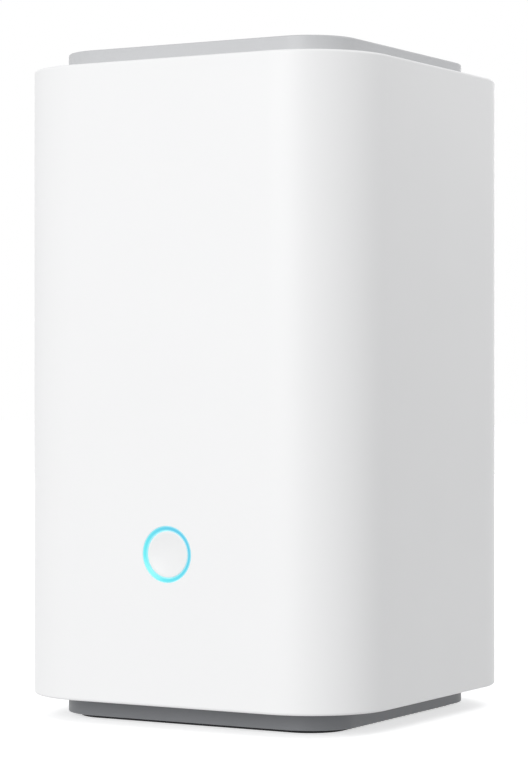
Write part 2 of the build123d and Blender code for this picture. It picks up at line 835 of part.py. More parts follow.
# Inner frame: four posts between two decks, a spine for the board and a wall for the speaker
with BuildPart() as inner_frame:
    with BuildSketch(Plane.XY.offset(flange_top)):
        RectangleRounded(deck_width, deck_width, deck_corner)
        with Locations((0, notch_y)):
            Rectangle(2 * notch_half, deck_width, align=(Align.CENTER, Align.MAX), mode=Mode.SUBTRACT)
    extrude(amount=lower_deck_thickness)
    with BuildSketch(Plane.XY.offset(deck_underside)):
        RectangleRounded(deck_width, deck_width, deck_corner)
        with Locations((0, rim_front_y)):
            Rectangle(2 * speaker_wall_half, rim_front_y, align=(Align.CENTER, Align.MAX))
        with Locations((0, notch_y)):
            Rectangle(2 * notch_half, deck_width, align=(Align.CENTER, Align.MAX), mode=Mode.SUBTRACT)
    extrude(amount=deck_thickness)
    with BuildSketch(Plane.XY.offset(flange_top)):
        with Locations(*post_places):
            Circle(post_diameter / 2)
    extrude(amount=shoulder_underside - flange_top)
    with BuildSketch(Plane.YZ.offset(spine_back)):
        with BuildLine():
            Polyline(
                (spine_front_y, lower_deck_top),
                (spine_rear_y, lower_deck_top),
                (spine_rear_y, board_top),
                (spine_upper_y, spine_step_z),
                (spine_upper_y, deck_underside),
                (spine_front_y, deck_underside),
                close=True,
            )
        make_face()
    extrude(amount=spine_thickness)
    with BuildSketch(Plane.YZ.offset(spine_face)):
        with Locations(*board_holes):
            Circle(standoff_diameter / 2)
    extrude(amount=standoff)
    with BuildSketch(Plane.XZ.offset(-rim_front_y)):
        with Locations((0, deck_underside)):
            Rectangle(2 * speaker_wall_half, speaker_wall_height, align=(Align.CENTER, Align.MAX))
    extrude(amount=speaker_wall)
    gusset_x = speaker_wall_half - gusset_thickness
    for side in (-speaker_wall_half, gusset_x):
        with BuildSketch(Plane.YZ.offset(side)):
            with BuildLine():
                Polyline(
                    (speaker_wall_y, deck_underside),
                    (speaker_wall_y - gusset, deck_underside),
                    (speaker_wall_y, deck_underside - gusset),
                    close=True,
                )
            make_face()
        extrude(amount=gusset_thickness)
    with BuildSketch(Plane.YZ.offset(board_back)):
        with Locations(*board_holes):
            Circle(board_shank / 2)
    extrude(amount=-standoff - spine_thickness, mode=Mode.SUBTRACT)
    top_window_width = deck_half - antenna_inset - antenna_width - top_window_margin - window_edge_x
    with BuildSketch(Plane.XY.offset(deck_underside)):
        with Locations((window_edge_x, sum(lead_ys) / 2)):
            RectangleRounded(
                top_window_width, top_window_length, top_window_corner,
                align=(Align.MIN, Align.CENTER),
            )
    extrude(amount=deck_thickness, mode=Mode.SUBTRACT)
    with BuildSketch(Plane.YZ.offset(spine_back)):
        window_span = spine_height * spine_window_share
        for middle_share in spine_window_middle_shares:
            with Locations((spine_window_y, lower_deck_top + spine_height * middle_share)):
                RectangleRounded(
                    spine_window_rear_y - spine_window_front_y, window_span, spine_window_corner
                )
    extrude(amount=spine_thickness, mode=Mode.SUBTRACT)
    with BuildSketch(Plane.XZ.offset(-rim_front_y)):
        with Locations((0, speaker_z)):
            Circle(cup_radius + cup_gap)
            with GridLocations(2 * speaker_hole_reach, 2 * speaker_hole_reach, 2, 2):
                Circle(speaker_shank / 2)
    extrude(amount=speaker_wall, mode=Mode.SUBTRACT)
    with BuildSketch(Plane.XY.offset(shoulder_underside)):
        with Locations(*post_places):
            Circle(case_shank / 2)
    extrude(amount=-(cap_screw_length + pilot_spare), mode=Mode.SUBTRACT)
    with BuildSketch(Plane.XY.offset(flange_top)):
        with Locations(*post_places):
            Circle(case_shank / 2)
    extrude(amount=base_screw_length, mode=Mode.SUBTRACT)
    with BuildSketch(Plane.XY.offset(deck_top)):
        for x in (-antenna_x, antenna_x):
            with Locations((x, 0)):
                with GridLocations(peg_diameter, antenna_length - 2 * peg_inset, 1, 2):
                    Circle(peg_diameter / 2)
    extrude(amount=peg_height)

# Circuit board and its screws
with BuildPart() as main_board:
    board_y = (board_front_y + board_rear_y) / 2
    board_z = (board_bottom + board_top) / 2
    with BuildSketch(Plane.YZ.offset(board_back)):
        with Locations((board_y, board_z)):
            RectangleRounded(board_rear_y - board_front_y, board_top - board_bottom, board_corner)
        with Locations(*board_holes):
            Circle(board_shank / 2 + screw_clearance, mode=Mode.SUBTRACT)
        with Locations((sink_y, sink_z)):
            with GridLocations(sink_size - 2 * sink_hole_inset, sink_size - 2 * sink_hole_inset, 2, 2):
                Circle(sink_pin / 2, mode=Mode.SUBTRACT)
    extrude(amount=board_thickness)

board_screw = screw(board_head, board_head_height, board_shank, board_screw_length)
board_screw = board_screw.rotate(Axis.Y, 90)
with BuildPart() as main_board_screws:
    with Locations(*[(board_face, y, z) for y, z in board_holes]):
        add(board_screw)

# Processor, memory and power parts
processor = board_block(sink_y, sink_z, chip_size, chip_size, chip_height)
thermal_pad = board_block(sink_y, sink_z, pad_size, pad_size, pad_thickness, lift=chip_height)

# Memory on the other face of the board, behind the processor
with BuildPart() as memory_chips:
    with BuildSketch(Plane.YZ.offset(board_back)):
        with Locations((sink_y, sink_z)):
            with GridLocations(memory_length, memory_width + memory_gap, 1, 2):
                Rectangle(memory_length, memory_width)
    extrude(amount=-memory_height)

with BuildPart() as heatsink:
    with BuildSketch(Plane.YZ.offset(sink_face)):
        with Locations((sink_y, sink_z)):
            Rectangle(sink_size, sink_size)
    extrude(amount=sink_base)
    with BuildSketch(Plane.YZ.offset(sink_face + sink_base)):
        with Locations((sink_y, sink_z)):
            fin_pitch = (sink_size - sink_fin) / (sink_fin_count - 1)
            with GridLocations(fin_pitch, sink_size, sink_fin_count, 1):
                Rectangle(sink_fin, sink_size)
    extrude(amount=sink_fin_height)
    with BuildSketch(Plane.YZ.offset(sink_face + sink_base)):
        with Locations((sink_y, sink_z)):
            with GridLocations(sink_size - 2 * sink_hole_inset, sink_size - 2 * sink_hole_inset, 2, 2):
                Circle(sink_pin_head / 2 + screw_clearance)
    extrude(amount=sink_fin_height, mode=Mode.SUBTRACT)
    with BuildSketch(Plane.YZ.offset(sink_face)):
        with Locations((sink_y, sink_z)):
            with GridLocations(sink_size - 2 * sink_hole_inset, sink_size - 2 * sink_hole_inset, 2, 2):
                Circle(sink_pin / 2)
    extrude(amount=sink_base, mode=Mode.SUBTRACT)

with BuildPart() as heatsink_pins:
    with BuildSketch(Plane.YZ.offset(board_back)):
        with Locations((sink_y, sink_z)):
            with GridLocations(sink_size - 2 * sink_hole_inset, sink_size - 2 * sink_hole_inset, 2, 2):
                Circle(sink_pin / 2)
    extrude(amount=sink_face + sink_base - board_back)
    with BuildSketch(Plane.YZ.offset(sink_face + sink_base)):
        with Locations((sink_y, sink_z)):
            with GridLocations(sink_size - 2 * sink_hole_inset, sink_size - 2 * sink_hole_inset, 2, 2):
                Circle(sink_pin_head / 2)
    extrude(amount=sink_pin_head_height)

with BuildPart() as radio_shield:
    with BuildSketch(Plane.YZ.offset(board_face)):
        with Locations((radio_y, radio_z)):
            Rectangle(radio_length, radio_width)
    extrude(amount=radio_height)
    fillet(radio_shield.faces().sort_by(Axis.X)[-1].edges(), radio_skin)
    with BuildSketch(Plane.YZ.offset(board_face)):
        with Locations((radio_y, radio_z)):
            Rectangle(radio_length - 2 * radio_skin, radio_width - 2 * radio_skin)
    extrude(amount=radio_height - radio_skin, mode=Mode.SUBTRACT)

lan_transformer = board_block(
    magnetics_y, lan_z, magnetics_length, magnetics_width, magnetics_height
)

capacitor_y = power_face_y - power_depth - capacitor_gap - capacitor_diameter / 2
with BuildPart() as capacitors:
    with BuildSketch(Plane.YZ.offset(board_face)):
        for step in (0, 1):
            with Locations((capacitor_y - step * (capacitor_diameter + capacitor_gap), power_z)):
                Circle(capacitor_diameter / 2)
    extrude(amount=capacitor_height)
    fillet(capacitors.faces().sort_by(Axis.X)[-2:].edges(), capacitor_round)

coil_y = capacitor_y - 3 * capacitor_diameter / 2 - 2 * capacitor_gap - coil_size / 2
power_coil = board_block(coil_y, power_z, coil_size, coil_size, coil_height, coil_round)
with BuildPart() as power_coils:
    with Locations((0, 0, 0), (0, -coil_size - capacitor_gap, 0)):
        add(power_coil)

# Network socket: a plastic insert in a steel skin, with eight spring contacts
with BuildPart() as lan_shield:
    with BuildSketch(Plane.XZ.offset(-lan_back_y)):
        with Locations((lan_axis_x, lan_z)):
            Rectangle(lan_height, lan_width)
    extrude(amount=-lan_depth)
    with BuildSketch(Plane.XZ.offset(-lan_back_y - lan_skin)):
        with Locations((lan_axis_x, lan_z)):
            Rectangle(lan_height - 2 * lan_skin, lan_width - 2 * lan_skin)
    extrude(amount=-lan_depth, mode=Mode.SUBTRACT)

lan_cavity_x = board_face + lan_floor
lan_cavity_top = lan_cavity_x + lan_cavity_height
lan_lamp_x = board_face + lan_height - lan_skin - lan_lamp_inset - lan_lamp_height / 2
lan_lamp_pitch = lan_width - 2 * (lan_skin + lan_lamp_inset) - lan_lamp_width
with BuildPart() as lan_jack:
    with BuildSketch(Plane.XZ.offset(-lan_back_y - lan_skin)):
        with Locations((lan_axis_x, lan_z)):
            Rectangle(lan_height - 2 * lan_skin, lan_width - 2 * lan_skin)
    extrude(amount=-lan_depth + lan_skin)
    with BuildSketch(Plane.XZ.offset(-lan_face_y)):
        with Locations((lan_cavity_x, lan_z)):
            Rectangle(lan_cavity_height, lan_cavity_width, align=(Align.MIN, Align.CENTER))
        with Locations((lan_cavity_top, lan_z)):
            Rectangle(lan_key_height, lan_key_width, align=(Align.MIN, Align.CENTER))
    extrude(amount=lan_cavity_depth, mode=Mode.SUBTRACT)
    with BuildSketch(Plane.XZ.offset(-lan_face_y)):
        with Locations((lan_lamp_x, lan_z)):
            with GridLocations(lan_lamp_height, lan_lamp_pitch, 1, 2):
                Rectangle(lan_lamp_height, lan_lamp_width)
    extrude(amount=lan_lamp_depth, mode=Mode.SUBTRACT)

with BuildPart() as lan_lamps:
    with BuildSketch(Plane.XZ.offset(-lan_face_y)):
        with Locations((lan_lamp_x, lan_z)):
            with GridLocations(lan_lamp_height, lan_lamp_pitch, 1, 2):
                Rectangle(lan_lamp_height, lan_lamp_width)
    extrude(amount=lan_lamp_depth)

contact_x = lan_cavity_x + lan_contact_thickness / 2
contact_end_y = lan_face_y - lan_contact_flat - lan_contact_run
with BuildPart() as lan_contacts:
    for step in range(lan_contact_count):
        contact_z = lan_z + (step - (lan_contact_count - 1) / 2) * lan_contact_pitch
        with BuildSketch(Plane.XY.offset(contact_z - lan_contact_width / 2)):
            with BuildLine():
                Polyline(
                    (contact_x, lan_face_y - lan_contact_flat / 2),
                    (contact_x, lan_face_y - 3 * lan_contact_flat / 2),
                    (contact_x + lan_contact_rise, contact_end_y),
                )
            trace(line_width=lan_contact_thickness)
        extrude(amount=lan_contact_width)

# Power socket: a barrel socket with its centre pin
with BuildPart() as power_jack:
    with BuildSketch(Plane.YZ.offset(board_face)):
        with Locations((power_face_y, power_z)):
            Rectangle(power_depth, power_width, align=(Align.MAX, Align.CENTER))
    extrude(amount=power_height)
    with BuildSketch(Plane.XZ.offset(-power_nose_y)):
        with Locations((power_axis_x, power_z)):
            Circle(power_nose / 2)
    extrude(amount=power_nose_y - power_face_y)
    with BuildSketch(Plane.XZ.offset(-power_nose_y)):
        with Locations((power_axis_x, power_z)):
            Circle(power_bore / 2)
    extrude(amount=power_bore_depth, mode=Mode.SUBTRACT)
    with BuildSketch(Plane.XZ.offset(-power_bore_end_y)):
        with Locations((power_axis_x, power_z)):
            Circle(power_pin_diameter / 2)
    extrude(amount=power_pin_root, mode=Mode.SUBTRACT)

with BuildPart() as power_pin:
    with BuildSketch(Plane.XZ.offset(-power_bore_end_y + power_pin_root)):
        with Locations((power_axis_x, power_z)):
            Circle(power_pin_diameter / 2)
    extrude(amount=-(power_pin_root + power_bore_depth - power_pin_setback))
    fillet(power_pin.faces().sort_by(Axis.Y)[-1].edges(), power_pin_diameter / 4)

# Card sockets, one above the other, and the card in the lower one
card_sockets = {}
for name, socket_z in (("card_socket_lower", card_low_z), ("card_socket_upper", card_high_z)):
    with BuildPart() as card_socket:
        with BuildSketch(Plane.YZ.offset(board_face)):
            with Locations((socket_face_y, socket_z)):
                Rectangle(socket_depth, socket_width, align=(Align.MAX, Align.CENTER))
        extrude(amount=socket_height)
        with BuildSketch(Plane.XZ.offset(-socket_face_y)):
            with Locations((socket_axis_x, socket_z)):
                Rectangle(socket_slot_height, socket_slot_width)
        extrude(amount=socket_slot_depth, mode=Mode.SUBTRACT)
    card_sockets[name] = card_socket.part

with BuildPart() as memory_card:
    with BuildSketch(Plane.YZ.offset(socket_axis_x - card_thickness / 2)):
        with Locations((card_end_y, card_low_z)):
            RectangleRounded(card_length, card_width, card_corner, align=(Align.MAX, Align.CENTER))
    extrude(amount=card_thickness)
    with BuildSketch(Plane.YZ.offset(socket_axis_x - card_thickness / 2)):
        with Locations((card_end_y - card_corner, card_low_z)):
            Rectangle(
                card_lip_length - card_corner, card_width - 2 * card_corner,
                align=(Align.MAX, Align.CENTER),
            )
    extrude(amount=card_lip)

# Reset switch behind its pinhole
with BuildPart() as reset_switch:
    with BuildSketch(Plane.YZ.offset(board_face)):
        with Locations((reset_face_y, reset_z)):
            Rectangle(reset_depth, reset_width, align=(Align.MAX, Align.CENTER))
    extrude(amount=reset_height)
    with BuildSketch(Plane.XZ.offset(-reset_face_y)):
        with Locations((reset_axis_x, reset_z)):
            Circle(reset_plunger_diameter / 2 + reset_gap)
    reset_room = reset_plunger_length - reset_show + reset_travel + reset_gap
    extrude(amount=reset_room, mode=Mode.SUBTRACT)

with BuildPart() as reset_plunger:
    with BuildSketch(Plane.XZ.offset(-reset_face_y - reset_show)):
        with Locations((reset_axis_x, reset_z)):
            Circle(reset_plunger_diameter / 2)
    extrude(amount=reset_plunger_length)

# Socket panel: it clips into the window of the sleeve and frames each socket
panel_width = window_width - 2 * panel_gap
panel_height = window_height - 2 * panel_gap
clip_outer_x = panel_width / 2 - window_lip
with BuildPart() as clip_pair:
    with BuildSketch(Plane.XY.offset(window_z - clip_length / 2)):
        with BuildLine():
            Polyline(
                (clip_outer_x, panel_inner_y),
                (clip_outer_x, rear_wall_y - clip_seat),
                (clip_outer_x + clip_nib, rear_wall_y - clip_seat),
                (clip_outer_x, panel_inner_y - clip_depth),
                (clip_outer_x - clip_thickness, panel_inner_y - clip_depth),
                (clip_outer_x - clip_thickness, panel_inner_y),
                close=True,
            )
        make_face()
        mirror(about=Plane.YZ)
    extrude(amount=clip_length)

with BuildPart() as port_panel:
    with BuildSketch(Plane.XZ.offset(-panel_outer_y)):
        with Locations((0, window_z)):
            RectangleRounded(panel_width, panel_height, window_corner - panel_gap)
    extrude(amount=panel_outer_y - lip_face_y)
    fillet(port_panel.faces().sort_by(Axis.Y)[-1].edges(), panel_round)
    with BuildSketch(Plane.XZ.offset(-lip_face_y)):
        with Locations((0, window_z)):
            RectangleRounded(
                panel_width - 2 * window_lip, panel_height - 2 * window_lip,
                window_corner - panel_gap - window_lip,
            )
    extrude(amount=lip_face_y - panel_inner_y)
    with BuildSketch(Plane.XZ.offset(-panel_outer_y)):
        with Locations((lan_axis_x, lan_z)):
            Rectangle(lan_height + 2 * port_clearance, lan_width + 2 * port_clearance)
        with Locations((power_axis_x, power_z)):
            Circle(power_nose / 2 + port_clearance)
        with Locations((socket_axis_x, card_low_z), (socket_axis_x, card_high_z)):
            Rectangle(card_lip + 2 * slot_clearance, card_width + 2 * slot_clearance)
        with Locations((reset_axis_x, reset_z)):
            Circle(pinhole / 2)
    extrude(amount=panel_thickness, mode=Mode.SUBTRACT)
    with Locations(*[(0, 0, step * panel_height / clip_count) for step in clip_steps]):
        add(clip_pair.part)

# Speaker: basket, magnet system, coil, cone and surround
cup_cone_y = rim_front_y - cup_straight
cup_neck_y = cup_cone_y - cup_cone
collar_y = cup_neck_y - cup_collar
collar_radius = yoke_radius + cup_wall
seat_y = rim_back_y - surround_seat
seat_radius = cup_radius - cup_wall
throat_radius = seat_radius - surround_thickness - cone_rim / 2
with BuildPart() as speaker_basket:
    with BuildSketch(Plane.XZ.offset(-rim_front_y)):
        with Locations((0, speaker_z)):
            RectangleRounded(speaker_size, speaker_size, speaker_corner)
            with GridLocations(2 * speaker_hole_reach, 2 * speaker_hole_reach, 2, 2):
                Circle(speaker_shank / 2 + screw_clearance, mode=Mode.SUBTRACT)
    extrude(amount=-speaker_rim)
    with BuildSketch(Plane.XY.offset(speaker_z)):
        with BuildLine():
            Polyline(
                (0, rim_front_y),
                (cup_radius, rim_front_y),
                (cup_radius, cup_cone_y),
                (collar_radius, cup_neck_y),
                (collar_radius, collar_y),
                (0, collar_y),
                close=True,
            )
        make_face()
    revolve(axis=speaker_axis)
    with BuildSketch(Plane.XZ.offset(-lug_y + lug_depth / 2)):
        with Locations((0, lug_z)):
            Rectangle(lug_width, lug_height, align=(Align.CENTER, Align.MIN))
    extrude(amount=-lug_depth)
    with BuildSketch(Plane.XY.offset(speaker_z)):
        with BuildLine():
            Polyline(
                (0, rim_back_y),
                (seat_radius, rim_back_y),
                (seat_radius, seat_y),
                (throat_radius, seat_y),
                (throat_radius, cup_cone_y),
                (yoke_radius, cup_neck_y),
                (yoke_radius, collar_y),
                (0, collar_y),
                close=True,
            )
        make_face()
    revolve(axis=speaker_axis, mode=Mode.SUBTRACT)

yoke_front_y = collar_y + yoke_seat
yoke_back_y = yoke_front_y - yoke_depth
magnet_back_y = yoke_back_y + yoke_floor
with BuildPart() as speaker_yoke:
    with BuildSketch(Plane.XZ.offset(-yoke_front_y)):
        with Locations((0, speaker_z)):
            Circle(yoke_radius)
    extrude(amount=yoke_depth)
    with BuildSketch(Plane.XZ.offset(-yoke_front_y)):
        with Locations((0, speaker_z)):
            Circle(yoke_bore)
    extrude(amount=yoke_depth - yoke_floor, mode=Mode.SUBTRACT)

with BuildPart() as speaker_magnet:
    with BuildSketch(Plane.XZ.offset(-magnet_back_y)):
        with Locations((0, speaker_z)):
            Circle(magnet_radius)
    extrude(amount=-magnet_height)

coil_back_y = magnet_back_y + coil_lift
coil_front_y = coil_back_y + coil_length
with BuildPart() as voice_coil:
    with BuildSketch(Plane.XZ.offset(-coil_back_y)):
        with Locations((0, speaker_z)):
            Circle(coil_inner + coil_tube)
            Circle(coil_inner, mode=Mode.SUBTRACT)
    extrude(amount=-coil_length)
    with BuildSketch(Plane.XZ.offset(-coil_back_y)):
        with Locations((0, speaker_z)):
            Circle(coil_inner + coil_tube + coil_winding)
            Circle(coil_inner, mode=Mode.SUBTRACT)
    extrude(amount=-winding_length)

cone_radius = throat_radius - surround_roll
with BuildPart() as speaker_cone:
    with BuildSketch(Plane.XY.offset(speaker_z)):
        with BuildLine():
            TangentArc(
                (0, coil_front_y + dome_height),
                (coil_inner + coil_tube, coil_front_y + cone_thickness),
                tangent=(1, 0),
            )
            Polyline(
                (coil_inner + coil_tube, coil_front_y + cone_thickness),
                (cone_radius - cone_rim, seat_y),
                (cone_radius, seat_y),
                (cone_radius, seat_y - cone_thickness),
                (cone_radius - cone_rim, seat_y - cone_thickness),
                (coil_inner + coil_tube, coil_front_y),
                (0, coil_front_y),
                (0, coil_front_y + dome_height),
            )
        make_face()
    revolve(axis=speaker_axis)

lip_y = seat_y + surround_thickness / 2
with BuildPart() as speaker_surround:
    with BuildSketch(Plane.XY.offset(speaker_z)):
        with BuildLine():
            Line((seat_radius, lip_y), (throat_radius, lip_y))
            ThreePointArc(
                (throat_radius, lip_y),
                (throat_radius - surround_roll / 2, lip_y + surround_roll / 2),
                (cone_radius, lip_y),
            )
            Line((cone_radius, lip_y), (cone_radius - cone_rim, lip_y))
        trace(line_width=surround_thickness)
    revolve(axis=speaker_axis)

with BuildPart() as speaker_gasket:
    with BuildSketch(Plane.XZ.offset(-mesh_y)):
        with Locations((0, speaker_z)):
            RectangleRounded(speaker_size, speaker_size, speaker_corner)
            Circle(seat_radius, mode=Mode.SUBTRACT)
            with GridLocations(2 * speaker_hole_reach, 2 * speaker_hole_reach, 2, 2):
                Circle(speaker_head / 2 + screw_clearance, mode=Mode.SUBTRACT)
    extrude(amount=speaker_gasket_thickness)

with BuildPart() as speaker_mesh:
    with BuildSketch(Plane.XZ.offset(-rear_wall_y)):
        with Locations((0, speaker_z)):
            Circle(mesh_radius)
    extrude(amount=mesh_thickness)

speaker_screw = screw(speaker_head, speaker_head_height, speaker_shank, speaker_screw_length)
speaker_screw = speaker_screw.rotate(Axis.X, -90)
with BuildPart() as speaker_screws:
    with Locations((0, rim_back_y, speaker_z)):
        corners = [
            (x, 0, z)
            for x in (-speaker_hole_reach, speaker_hole_reach)
            for z in (-speaker_hole_reach, speaker_hole_reach)
        ]
        with Locations(*corners):
            add(speaker_screw)

# Speaker leads from the lug on the basket to their socket on the board
wire_socket = board_block(
    wire_socket_y, wire_socket_z, wire_socket_width, wire_socket_depth, wire_socket_height
)
wire_bend_z = (lug_z + wire_socket_top) / 2
speaker_lead = lead(
    [
        (-wire_spacing / 2, lug_y, lug_z),
        (-wire_spacing / 2, lug_y, wire_bend_z),
        (board_face + wire_height, wire_socket_y, wire_bend_z),
        (board_face + wire_height, wire_socket_y, wire_socket_top),
    ],
    wire_turn,
    wire_diameter,
)
with BuildPart() as speaker_leads:
    with Locations((0, 0, 0), (wire_spacing, 0, 0)):
        add(speaker_lead)

# Antennas and their leads, which drop through the upper deck to the board
antennas = {}
leads = {}
for name, side, lead_y in (("left", -1, lead_ys[0]), ("right", 1, lead_ys[1])):
    with BuildPart() as antenna:
        with BuildSketch(Plane.XY.offset(deck_top)):
            with Locations((side * antenna_x, 0)):
                Rectangle(antenna_width, antenna_length)
                with GridLocations(antenna_width, antenna_length - 2 * peg_inset, 1, 2):
                    Circle(peg_diameter / 2 + peg_gap, mode=Mode.SUBTRACT)
            with Locations((side * (antenna_x + antenna_width / 2), antenna_notch_length / 2)):
                Rectangle(2 * antenna_notch, antenna_notch_length, mode=Mode.SUBTRACT)
        extrude(amount=antenna_thickness)
    antennas["antenna_" + name] = antenna.part
    lead_start_x = side * (antenna_x - antenna_width / 2 + lead_overlap)
    leads["antenna_lead_" + name] = lead(
        [
            (lead_start_x, lead_y, lead_z),
            (lead_x, lead_y, lead_z),
            (lead_x, lead_y, coax_z + coax_plug / 2),
        ],
        lead_turn,
        lead_diameter,
    )

with BuildPart() as coax_plugs:
    with BuildSketch(Plane.YZ.offset(board_face)):
        with Locations(*[(lead_y, coax_z) for lead_y in lead_ys]):
            RectangleRounded(coax_plug, coax_plug, coax_plug / 4)
    extrude(amount=coax_plug_height)

pieces = {
    "outer_sleeve": outer_sleeve.part,
    "top_cap": top_cap.part,
    "base_tray": base_tray.part,
    "rubber_foot": rubber_foot.part,
    "cap_screws": cap_screws.part,
    "base_screws": base_screws.part,
    "light_ring": light_ring.part,
    "button_cap": button_cap.part,
    "light_gasket": light_gasket.part,
    "front_board": front_board.part,
    "ring_leds": ring_leds.part,
    "front_switch": front_switch.part,
    "front_switch_plunger": front_switch_plunger.part,
    "front_board_screws": front_board_screws.part,
    "front_connector": front_connector.part,
    "ribbon_cable": ribbon_cable.part,
    "ribbon_socket": ribbon_socket,
    "inner_frame": inner_frame.part,
    "main_board": main_board.part,
    "main_board_screws": main_board_screws.part,
    "processor": processor,
    "thermal_pad": thermal_pad,
    "memory_chips": memory_chips.part,
    "heatsink": heatsink.part,
    "heatsink_pins": heatsink_pins.part,
    "radio_shield": radio_shield.part,
    "lan_transformer": lan_transformer,
    "capacitors": capacitors.part,
    "power_coils": power_coils.part,
    "lan_shield": lan_shield.part,
    "lan_jack": lan_jack.part,
    "lan_contacts": lan_contacts.part,
    "lan_lamps": lan_lamps.part,
    "power_jack": power_jack.part,
    "power_pin": power_pin.part,
    "memory_card": memory_card.part,
    "reset_switch": reset_switch.part,
    "reset_plunger": reset_plunger.part,
    "port_panel": port_panel.part,
    "speaker_basket": speaker_basket.part,
    "speaker_yoke": speaker_yoke.part,
    "speaker_magnet": speaker_magnet.part,
    "voice_coil": voice_coil.part,
    "speaker_cone": speaker_cone.part,
    "speaker_surround": speaker_surround.part,
    "speaker_gasket": speaker_gasket.part,
    "speaker_mesh": speaker_mesh.part,
    "speaker_screws": speaker_screws.part,
    "wire_socket": wire_socket,
    "speaker_leads": speaker_leads.part,
    "coax_plugs": coax_plugs.part,
    **card_sockets,
    **antennas,
    **leads,
}

os.makedirs("parts", exist_ok=True)
for label, piece in pieces.items():
    piece.label = label
    export_step(piece, f"parts/{label}.step")
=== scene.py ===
"""The looks of the security camera base station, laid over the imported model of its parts.

The shell, cap, base, foot, light ring, button and the surround of the speaker's cone are
surfaces worked out with numpy from the same sizes as the solids. The panel and the sockets of
the back are their solids with rounded edges. The other parts keep their solids, and every part
has a finish made of shader nodes. Sizes of the object are in millimetres and become metres as a
mesh is made. The floor, the lamps and the camera are in metres.
"""

import json
import math

import bmesh
import bpy
import numpy as np
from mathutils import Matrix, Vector

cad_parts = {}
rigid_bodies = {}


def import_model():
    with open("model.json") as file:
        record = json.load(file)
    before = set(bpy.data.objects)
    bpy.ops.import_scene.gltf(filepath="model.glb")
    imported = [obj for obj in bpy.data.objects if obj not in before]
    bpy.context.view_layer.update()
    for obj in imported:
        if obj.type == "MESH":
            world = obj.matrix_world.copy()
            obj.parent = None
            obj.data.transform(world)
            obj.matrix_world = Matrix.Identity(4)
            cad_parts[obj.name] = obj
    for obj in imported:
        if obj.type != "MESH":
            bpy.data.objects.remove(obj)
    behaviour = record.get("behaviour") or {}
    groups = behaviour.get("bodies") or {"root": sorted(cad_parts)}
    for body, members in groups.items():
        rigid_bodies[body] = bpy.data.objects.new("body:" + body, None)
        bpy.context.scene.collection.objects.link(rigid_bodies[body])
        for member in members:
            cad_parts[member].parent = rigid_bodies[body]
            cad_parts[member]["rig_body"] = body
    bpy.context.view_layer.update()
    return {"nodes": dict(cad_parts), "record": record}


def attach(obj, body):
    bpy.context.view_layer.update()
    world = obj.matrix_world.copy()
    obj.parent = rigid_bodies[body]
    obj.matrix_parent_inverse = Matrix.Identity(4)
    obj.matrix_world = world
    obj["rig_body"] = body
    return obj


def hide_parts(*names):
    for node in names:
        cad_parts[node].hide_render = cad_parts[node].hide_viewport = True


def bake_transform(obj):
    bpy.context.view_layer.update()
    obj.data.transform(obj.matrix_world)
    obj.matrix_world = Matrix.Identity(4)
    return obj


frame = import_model()

MM = 0.001
QUARTER_TURN = math.pi / 2

# The tower: half widths, corner radii and heights
SHELL_HALF, SHELL_CORNER = 47.5, 20.5
SHELL_WALL = 2.2
SHELL_INSIDE = SHELL_HALF - SHELL_WALL
SHELL_BOTTOM, SHELL_TOP = 5.4, 157.7
RIM_ROUND = 0.65
OPENING_HALF, OPENING_CORNER = 27.0, 9.0
PLINTH_HALF, PLINTH_CORNER = 39.1, 12.1

# The cap, and its hooks, which grip the edge of the shell's opening from inside
CAP_TOP, CAP_ROUND = 162.0, 0.45
CAP_CEILING, CAP_WALL = 160.0, 2.4
HOOK_GAP, HOOK_THICKNESS, HOOK_BARB, HOOK_TIP = 0.2, 1.4, 0.9, 1.2
HOOK_HALF_WIDTH, HOOK_SPREAD = 3.5, 12.0

# The base: its tray, its flange and the vents through the flange
BASE_BOTTOM, BASE_ROUND = 0.9, 0.3
BASE_FLOOR, BASE_WALL = 3.3, 2.2
FLANGE_BOTTOM, FLANGE_TOP, FLANGE_INSET = 6.4, 8.4, 2.45
VENT_HALF_WIDTH, VENT_HALF_LENGTH, VENT_REACH = 0.8, 1.8, PLINTH_HALF + 3.0
VENT_STEP, VENTS_EACH_WAY = 4.0, 5

# The rubber foot
FOOT_HALF, FOOT_CORNER, FOOT_TOP = 36.1, 9.1, 1.6
FOOT_HOLE_HALF, FOOT_HOLE_CORNER, FOOT_ROUND = 24.1, 5.0, 0.3

# The case screws, four below the cap and four above the foot: radii, seats and posts
SCREW_HEAD, SCREW_SHANK = 2.8, 1.55
SHELL_SEAT, BASE_SEAT = SHELL_TOP - 1.0, 4.2
BASE_POST, BASE_POST_BOTTOM = 4.2, 3.2
POST_REACH = 30.0
SCREW_PLACES = [(x, y, 0) for x in (-POST_REACH, POST_REACH) for y in (-POST_REACH, POST_REACH)]

# The front button: radii, and depths measured forward from the tower's axis. The keeper is
# the flange that holds it in
BUTTON_Z = 41.25
BUTTON_RADIUS, FACE_DEPTH, BUTTON_EDGE = 5.5, 47.15, 0.25
DISH_RADIUS, DISH_MIDDLE, DISH_SINK = 4.9, 0.25, 0.5
STEM_RADIUS, STEM_END = 1.7, 42.6
HOLLOW_RADIUS, HOLLOW_CEILING = 4.5, 45.45
KEEPER_RADIUS, KEEPER_BACK, KEEPER_FRONT = 7.1, 43.1, 44.1

# The ring of light round the button, in the same measures
RING_HOLE, RING_FLARE = 6.65, 0.15
RING_OUTER, RING_INNER, RING_BACK = 6.6, 5.6, 44.2
RING_OUTER_EDGE, RING_INNER_EDGE = 47.4, 47.08
CROWN_OUTER, CROWN_WIDTH = 6.56, 0.92
CROWN_DEPTH, CROWN_FALL, CROWN_RISE = 47.47, 0.32, 0.06
SKIRT_OUTER, SKIRT_INNER, SKIRT_END = 8.7, 7.5, 38.9
GLOW_MIDDLE = 6.1  # the radius at which the glow is deepest

